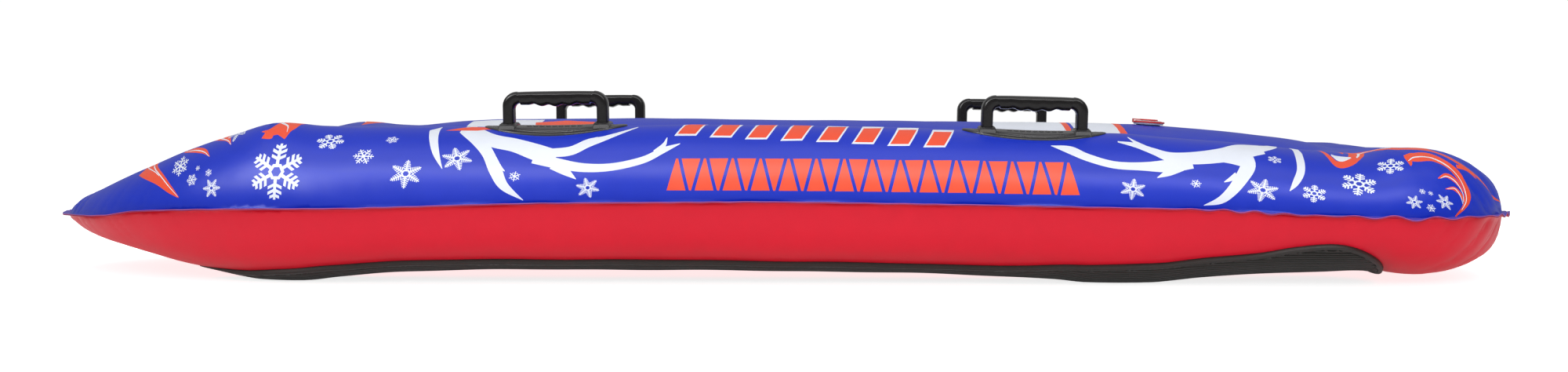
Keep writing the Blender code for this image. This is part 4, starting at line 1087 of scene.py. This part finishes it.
def turned_piece(name, profile, matrix):
    """A (radius, height) loop in millimetres turned round the valve's axis."""
    points, rings = [], []
    for radius, height in profile:
        start = len(points)
        if radius == 0:
            points.append(matrix @ Vector((0, 0, height * MM)))
            rings.append([start] * TURNED_STEPS)
            continue
        for step in range(TURNED_STEPS):
            turn = 2 * math.pi * step / TURNED_STEPS
            spot = Vector((radius * math.cos(turn), radius * math.sin(turn), height)) * MM
            points.append(matrix @ spot)
        rings.append(list(range(start, start + TURNED_STEPS)))
    faces = []
    for ring, after in steps(rings):
        if len(set(ring)) == 1 and len(set(after)) == 1:
            continue
        for (a, b), (c, d) in zip(steps(ring), steps(after)):
            faces.append(tuple(dict.fromkeys((a, b, d, c))))
    return facing_out(solid(name, points, faces, 35))


def millimetre_block(name, matrix, corners):
    low, high = corners
    return block_mesh(name, matrix, Vector(low) * MM, Vector(high) * MM)


# ---------------------------------------------------------------- materials
def material_nodes(name):
    material = bpy.data.materials.new(name)
    material.use_nodes = True
    tree = material.node_tree
    return material, tree, tree.nodes["Principled BSDF"]


def new_group(name, inputs, outputs):
    group = bpy.data.node_groups.new(name, "ShaderNodeTree")
    for label, kind, value in inputs:
        socket = group.interface.new_socket(label, in_out="INPUT", socket_type=kind)
        if value is not None:
            socket.default_value = value
    for label, kind in outputs:
        group.interface.new_socket(label, in_out="OUTPUT", socket_type=kind)
    return group, group.nodes.new("NodeGroupInput"), group.nodes.new("NodeGroupOutput")


def math_node(tree, operation, a, b):
    node = tree.nodes.new("ShaderNodeMath")
    node.operation = operation
    for socket, value in zip(node.inputs, (a, b)):
        if isinstance(value, (int, float)):
            socket.default_value = value
        else:
            tree.links.new(value, socket)
    return node.outputs[0]


def noise_node(tree, vector, scale, detail, roughness=0.55):
    node = tree.nodes.new("ShaderNodeTexNoise")
    tree.links.new(vector, node.inputs["Vector"])
    if isinstance(scale, (int, float)):
        node.inputs["Scale"].default_value = scale
    else:
        tree.links.new(scale, node.inputs["Scale"])
    node.inputs["Detail"].default_value = detail
    node.inputs["Roughness"].default_value = roughness
    return node.outputs["Fac"]


def surface_group():
    """Tone, gloss and grain that every moulded or calendered surface shares."""
    found = bpy.data.node_groups.get("Surface grain")
    if found:
        return found
    inputs = (("Colour", "NodeSocketColor", (0.5, 0.5, 0.5, 1.0)), ("Tone change", "NodeSocketFloat", 0.06),
              ("Roughness", "NodeSocketFloat", 0.4), ("Gloss change", "NodeSocketFloat", 0.1),
              ("Grain size", "NodeSocketFloat", 900.0), ("Grain depth", "NodeSocketFloat", 0.5),
              ("Wrinkle depth", "NodeSocketFloat", 0.0))
    outputs = (("Colour", "NodeSocketColor"), ("Roughness", "NodeSocketFloat"), ("Height", "NodeSocketFloat"))
    group, source, sink = new_group("Surface grain", inputs, outputs)
    place = group.nodes.new("ShaderNodeTexCoord").outputs["Object"]
    cloud = noise_node(group, place, 6.0, 4.0)
    smear = noise_node(group, place, 38.0, 5.0, 0.65)
    grain = noise_node(group, place, source.outputs["Grain size"], 3.0)
    mixed = math_node(group, "ADD", cloud, smear)
    swing = math_node(group, "SUBTRACT", mixed, 1.0)
    tone = math_node(group, "MULTIPLY_ADD", swing, source.outputs["Tone change"])
    tone.node.inputs[2].default_value = 1.0
    scale = group.nodes.new("ShaderNodeVectorMath")
    scale.operation = "SCALE"
    group.links.new(source.outputs["Colour"], scale.inputs[0])
    group.links.new(tone, scale.inputs["Scale"])
    group.links.new(scale.outputs[0], sink.inputs["Colour"])
    uneven = math_node(group, "SUBTRACT", smear, 0.5)
    gloss = math_node(group, "MULTIPLY", uneven, source.outputs["Gloss change"])
    group.links.new(math_node(group, "ADD", gloss, source.outputs["Roughness"]), sink.inputs["Roughness"])
    fine = math_node(group, "MULTIPLY", grain, source.outputs["Grain depth"])
    broad = math_node(group, "MULTIPLY", smear, source.outputs["Wrinkle depth"])
    group.links.new(math_node(group, "ADD", fine, broad), sink.inputs["Height"])
    return group


def finish(name, colour, roughness, tone=0.06, gloss=0.10, grain=900.0, depth=0.5, wrinkle=0.0, bump=0.0002,
           specular=0.5):
    """A material with the shared surface group feeding its colour, roughness and bump."""
    material, tree, shader = material_nodes(name)
    group = tree.nodes.new("ShaderNodeGroup")
    group.node_tree = surface_group()
    group.inputs["Colour"].default_value = (*colour, 1.0)
    for label, value in (("Tone change", tone), ("Roughness", roughness), ("Gloss change", gloss),
                         ("Grain size", grain), ("Grain depth", depth), ("Wrinkle depth", wrinkle)):
        group.inputs[label].default_value = value
    relief = tree.nodes.new("ShaderNodeBump")
    relief.inputs["Strength"].default_value = 0.6
    relief.inputs["Distance"].default_value = bump
    tree.links.new(group.outputs["Colour"], shader.inputs["Base Color"])
    tree.links.new(group.outputs["Roughness"], shader.inputs["Roughness"])
    tree.links.new(group.outputs["Height"], relief.inputs["Height"])
    tree.links.new(relief.outputs["Normal"], shader.inputs["Normal"])
    shader.inputs["Specular IOR Level"].default_value = specular
    return material


VINYL = dict(gloss=0.12, grain=1100.0, depth=0.35, wrinkle=0.5, bump=0.0004)


def camera_level(tree, unseen, seen):
    """A strength with one value for the camera and another for light that bounces."""
    path = tree.nodes.new("ShaderNodeLightPath")
    level = tree.nodes.new("ShaderNodeMapRange")
    level.inputs["To Min"].default_value = unseen
    level.inputs["To Max"].default_value = seen
    tree.links.new(path.outputs["Is Camera Ray"], level.inputs["Value"])
    return level.outputs["Result"]


# ---------------------------------------------------------------- settings
class SheetSettings(bpy.types.PropertyGroup):
    blue: FloatVectorProperty(name="Blue", description="Colour of the top sheet", subtype="COLOR",
                              default=(0.001, 0.026, 0.520), min=0.0, max=1.0)
    white: FloatVectorProperty(name="White ink", description="Colour of the snow and frost print",
                               subtype="COLOR", default=(0.82, 0.86, 0.95), min=0.0, max=1.0)
    orange: FloatVectorProperty(name="Orange ink", description="Colour of the flames and triangles",
                                subtype="COLOR", default=(0.90, 0.085, 0.030), min=0.0, max=1.0)
    red: FloatVectorProperty(name="Red", description="Colour of the bottom sheet", subtype="COLOR",
                             default=(0.660, 0.009, 0.028), min=0.0, max=1.0)
    roughness: FloatProperty(name="Roughness", description="Gloss of the vinyl, 0 is a mirror", default=0.36,
                             min=0.0, max=1.0, subtype="FACTOR")


class PartSettings(bpy.types.PropertyGroup):
    pad: FloatVectorProperty(name="Pad", description="Colour of the runner pads", subtype="COLOR",
                             default=(0.016, 0.015, 0.013), min=0.0, max=1.0)
    plate: FloatVectorProperty(name="Base plate", description="Colour of the handles' base plates",
                               subtype="COLOR", default=(0.022, 0.021, 0.023), min=0.0, max=1.0)
    grip: FloatVectorProperty(name="Grip", description="Colour of the handles' grips", subtype="COLOR",
                              default=(0.007, 0.006, 0.006), min=0.0, max=1.0)


class StageSettings(bpy.types.PropertyGroup):
    distance: FloatProperty(name="Distance", description="Camera distance in front of the sled's middle plane",
                            default=2.68, unit="LENGTH")
    height: FloatProperty(name="Height", description="Camera height above the floor", default=0.201,
                          unit="LENGTH")
    focal: FloatProperty(name="Focal length", description="Camera focal length", default=46.4, unit="CAMERA")
    brightness: FloatProperty(name="Brightness", description="Strength of the surroundings as a light",
                              default=0.36, min=0.0)
    floor_glow: FloatProperty(name="Floor glow", description="Light the white floor gives of itself",
                              default=0.25, min=0.0)


class SLED_OT_top_sheet(bpy.types.Operator):
    """Build the printed blue top sheet with its half of the weld flange"""

    bl_idname = "sled.top_sheet"
    bl_label = "Top sheet"

    def execute(self, context):
        sizes = context.scene.sled_sheet
        blue, white, orange = tuple(sizes.blue), tuple(sizes.white), tuple(sizes.orange)
        look = dict(VINYL, tone=0.10, specular=0.28)
        slots = {
            "base": finish("blue_vinyl", blue, sizes.roughness, **look),
            "white_ink": finish("white_ink", white, sizes.roughness + 0.03, **look),
            "orange_ink": finish("orange_ink", orange, sizes.roughness + 0.02, **look),
            "flange": finish("blue_weld", (0.10, 0.06, 0.42), 0.42, **look),
            "edge": finish("weld_edge", (0.50, 0.09, 0.30), 0.5, **look),
            "inside": finish("blue_inside", (0.10, 0.12, 0.35), 0.5, **look),
        }
        both_sides = [(name, loops + [loop * (1, -1) for loop in loops]) for name, loops in inks()]
        skin = skin_mesh("top_sheet", True, both_sides, valve_hole(), slots)
        stand_in(skin, "hull", "blue_sheet", "top_skin")
        return {"FINISHED"}


class SLED_OT_bottom_sheet(bpy.types.Operator):
    """Build the red bottom sheet with its half of the weld flange"""

    bl_idname = "sled.bottom_sheet"
    bl_label = "Bottom sheet"

    def execute(self, context):
        sizes = context.scene.sled_sheet
        look = dict(VINYL, tone=0.12, specular=0.22)
        slots = {
            "base": finish("red_vinyl", tuple(sizes.red), sizes.roughness + 0.04, **look),
            "flange": finish("red_weld", (0.45, 0.01, 0.05), 0.45, **look),
            # the red flange's rim: red vinyl painted much darker, a painted shadow line under the seam
            "edge": finish("red_edge_painted_shadow", (0.30, 0.02, 0.10), 0.5, **look),
            "inside": finish("red_inside", (0.40, 0.05, 0.06), 0.5, **look),
        }
        skin = skin_mesh("bottom_sheet", False, [], [], slots)
        stand_in(skin, "hull", "red_sheet", "bottom_skin")
        return {"FINISHED"}


class SLED_OT_webs(bpy.types.Operator):
    """Give the webs inside the hull their plain vinyl"""

    bl_idname = "sled.webs"
    bl_label = "Webs"

    def execute(self, context):
        vinyl = finish("web_vinyl", (0.08, 0.09, 0.42), 0.5, grain=700.0, depth=0.4)
        for name in ("beam_near", "beam_far", "nose_web", "tail_web"):
            wear(bpy.data.objects[name], vinyl)
        return {"FINISHED"}


class SLED_OT_runners(bpy.types.Operator):
    """Build the ribbed runner pads under the side tubes"""

    bl_idname = "sled.runners"
    bl_label = "Runner pads"

    def execute(self, context):
        rubber = finish("pad_rubber", tuple(context.scene.sled_parts.pad), 0.50, tone=0.25, gloss=0.2,
                        grain=1500.0, depth=0.6, wrinkle=0.3, bump=0.0003)
        pattern = runner_pattern()
        for name, side in SIDES.items():
            pad = runner_mesh("pad_" + name, side, pattern)
            wear(pad, rubber)
            stand_in(pad, "hull", "runner_pad", "runner_" + name)
        return {"FINISHED"}


class SLED_OT_handles(bpy.types.Operator):
    """Build the four moulded handles: base plates and grips"""

    bl_idname = "sled.handles"
    bl_label = "Handles"

    def execute(self, context):
        sizes = context.scene.sled_parts
        soft = finish("base_moulding", tuple(sizes.plate), 0.28, tone=0.12, gloss=0.15, grain=1300.0, depth=0.5,
                      wrinkle=0.2, bump=0.00015, specular=0.6)
        hard = finish("grip_moulding", tuple(sizes.grip), 0.22, tone=0.10, gloss=0.12, grain=2200.0, depth=0.5,
                      wrinkle=0.2, bump=0.00008, specular=0.30)
        for label in ("front", "rear"):
            x = handle_place(label)
            for name, side in SIDES.items():
                y = side * HANDLE_Y
                grip = grip_mesh(f"grip_{label}_{name}", handle_matrix(x, y))
                wear(grip, hard)
                stand_in(grip, "hull", "handle_grip", f"handle_grip_{label}_{name}")
                base = base_mesh(label, name, x, y)
                wear(base, soft)
                stand_in(base, "hull", "handle_plate", f"handle_base_{label}_{name}")
        return {"FINISHED"}


class SLED_OT_valve(bpy.types.Operator):
    """Build the inflation valve's body, tether and stopper, and give its weld and check flap their vinyl"""

    bl_idname = "sled.valve"
    bl_label = "Valve"

    def execute(self, context):
        matrix = valve_matrix()
        clear = finish("valve_clear", (0.78, 0.82, 0.86), 0.22, tone=0.05, gloss=0.1, grain=900.0, depth=0.3)
        clear.node_tree.nodes["Principled BSDF"].inputs["Transmission Weight"].default_value = 0.45
        stem = turned_piece("valve_body", STEM_PROFILE, matrix)
        wear(stem, clear)
        stand_in(stem, "hull", "valve_clear", "valve_stem")
        red = finish("stopper_red", (0.72, 0.035, 0.030), 0.34, tone=0.1, gloss=0.1, grain=1200.0, depth=0.4)
        stopper = turned_piece("stopper", STOPPER_PROFILE, matrix)
        combine(stopper, "UNION", [millimetre_block("tab", matrix, TAB)])
        wear(stopper, red)
        stand_in(stopper, "stopper", "stopper_red", "valve_plug")
        band = turned_piece("tether", BAND_PROFILE, matrix)
        combine(band, "UNION", [millimetre_block("strap", matrix, STRAP)])
        wear(band, red)
        stand_in(band, "hull", "stopper_red", "valve_tether")
        weld = finish("weld_vinyl", (0.03, 0.035, 0.06), 0.4, grain=900.0, depth=0.4)
        for name in ("valve_flange", "valve_flap"):
            wear(bpy.data.objects[name], weld)
        return {"FINISHED"}


# ---------------------------------------------------------------- stage
CAMERA_X = 86.25 * MM
CAMERA_AIM = (21.25 * MM, 0.0, 107.5 * MM)
FLOOR_SEEN, SURROUNDINGS_SEEN = 0.80, 1.02  # how bright the camera sees them
# name, place, aim, size, power, and whether the light shows as light on surfaces or as gloss
SOFT_BOXES = (
    ("overhead", (0.0, -0.6, 2.2), (0.0, -0.1, 0.1), (3.6, 1.4), 30.0, "light"),
    ("front", (0.0, -3.0, 1.1), (0.0, 0.0, 0.1), (3.4, 1.2), 33.0, "light"),
    ("gleam", (-0.1, -1.35, 1.75), (0.0, -0.3, 0.1), (4.8, 0.60), 62.0, "gloss"),
    ("high gleam", (0.0, -0.2, 2.3), (0.0, 0.0, 0.1), (4.2, 0.9), 20.0, "gloss"),
    ("nose gleam", (-2.3, -2.0, 1.9), (-0.75, -0.2, 0.1), (1.8, 1.2), 62.0, "gloss"),
)


def look_at(obj, place, aim):
    obj.location = place
    obj.rotation_euler = (Vector(aim) - Vector(place)).to_track_quat("-Z", "Y").to_euler()


class SLED_OT_stage(bpy.types.Operator):
    """Build the pale floor, the soft lights and the camera"""

    bl_idname = "sled.stage"
    bl_label = "Stage"

    def execute(self, context):
        sizes = context.scene.sled_stage
        self.floor(sizes)
        self.surroundings(context.scene, sizes)
        for soft_box in SOFT_BOXES:
            self.soft_box(*soft_box)
        self.camera(context.scene, sizes)
        context.scene.view_settings.view_transform = "Standard"
        return {"FINISHED"}

    def floor(self, sizes):
        mesh = bpy.data.meshes.new("floor")
        work = bmesh.new()
        bmesh.ops.create_grid(work, x_segments=8, y_segments=8, size=9.0)
        work.to_mesh(mesh)
        work.free()
        floor = link(bpy.data.objects.new("floor", mesh))
        material, tree, shader = material_nodes("pale_floor")
        shader.inputs["Base Color"].default_value = (0.90, 0.90, 0.90, 1.0)
        shader.inputs["Roughness"].default_value = 0.9
        shader.inputs["Specular IOR Level"].default_value = 0.1
        shader.inputs["Emission Color"].default_value = (1.0, 1.0, 1.0, 1.0)
        glow = camera_level(tree, sizes.floor_glow, FLOOR_SEEN)
        tree.links.new(glow, shader.inputs["Emission Strength"])
        wear(floor, material)

    def surroundings(self, scene, sizes):
        world = bpy.data.worlds.new("studio")
        scene.world = world
        world.use_nodes = True
        background = world.node_tree.nodes["Background"]
        background.inputs["Color"].default_value = (1.0, 1.0, 1.0, 1.0)
        level = camera_level(world.node_tree, sizes.brightness, SURROUNDINGS_SEEN)
        world.node_tree.links.new(level, background.inputs["Strength"])

    def soft_box(self, name, place, aim, size, power, shows_as):
        light = bpy.data.lights.new(name, "AREA")
        light.shape = "RECTANGLE"
        light.size, light.size_y = size
        light.energy = power
        lamp = link(bpy.data.objects.new(name, light))
        lamp.visible_diffuse = shows_as == "light"
        lamp.visible_glossy = shows_as == "gloss"
        look_at(lamp, place, aim)

    def camera(self, scene, sizes):
        data = bpy.data.cameras.new("camera")
        data.lens = sizes.focal
        data.sensor_width = 36.0
        camera = link(bpy.data.objects.new("camera", data))
        look_at(camera, (CAMERA_X, -sizes.distance, sizes.height), CAMERA_AIM)
        scene.camera = camera


class SLED_PT_panel(bpy.types.Panel):
    """Lists the sled's pieces and their sizes"""

    bl_idname = "SLED_PT_panel"
    bl_label = "Snow sled"
    bl_space_type = "VIEW_3D"
    bl_region_type = "UI"
    bl_category = "Sled"

    def draw(self, context):
        column = self.layout.column()
        for settings in SETTINGS:
            group = getattr(context.scene, settings)
            for name in group.__annotations__:
                column.prop(group, name)
        for operator in OPERATORS:
            column.operator(operator.bl_idname)


OPERATORS = (SLED_OT_top_sheet, SLED_OT_bottom_sheet, SLED_OT_webs, SLED_OT_runners, SLED_OT_handles,
             SLED_OT_valve, SLED_OT_stage)
SETTINGS = {"sled_sheet": SheetSettings, "sled_parts": PartSettings, "sled_stage": StageSettings}
CLASSES = (*SETTINGS.values(), *OPERATORS, SLED_PT_panel)


def register():
    for cls in CLASSES:
        bpy.utils.register_class(cls)
    for name, cls in SETTINGS.items():
        setattr(bpy.types.Scene, name, PointerProperty(type=cls))


def unregister():
    for name in SETTINGS:
        delattr(bpy.types.Scene, name)
    for cls in reversed(CLASSES):
        bpy.utils.unregister_class(cls)


def main():
    register()
    for operator in OPERATORS:
        group, name = operator.bl_idname.split(".")
        getattr(getattr(bpy.ops, group), name)()


if __name__ == "__main__":
    main()
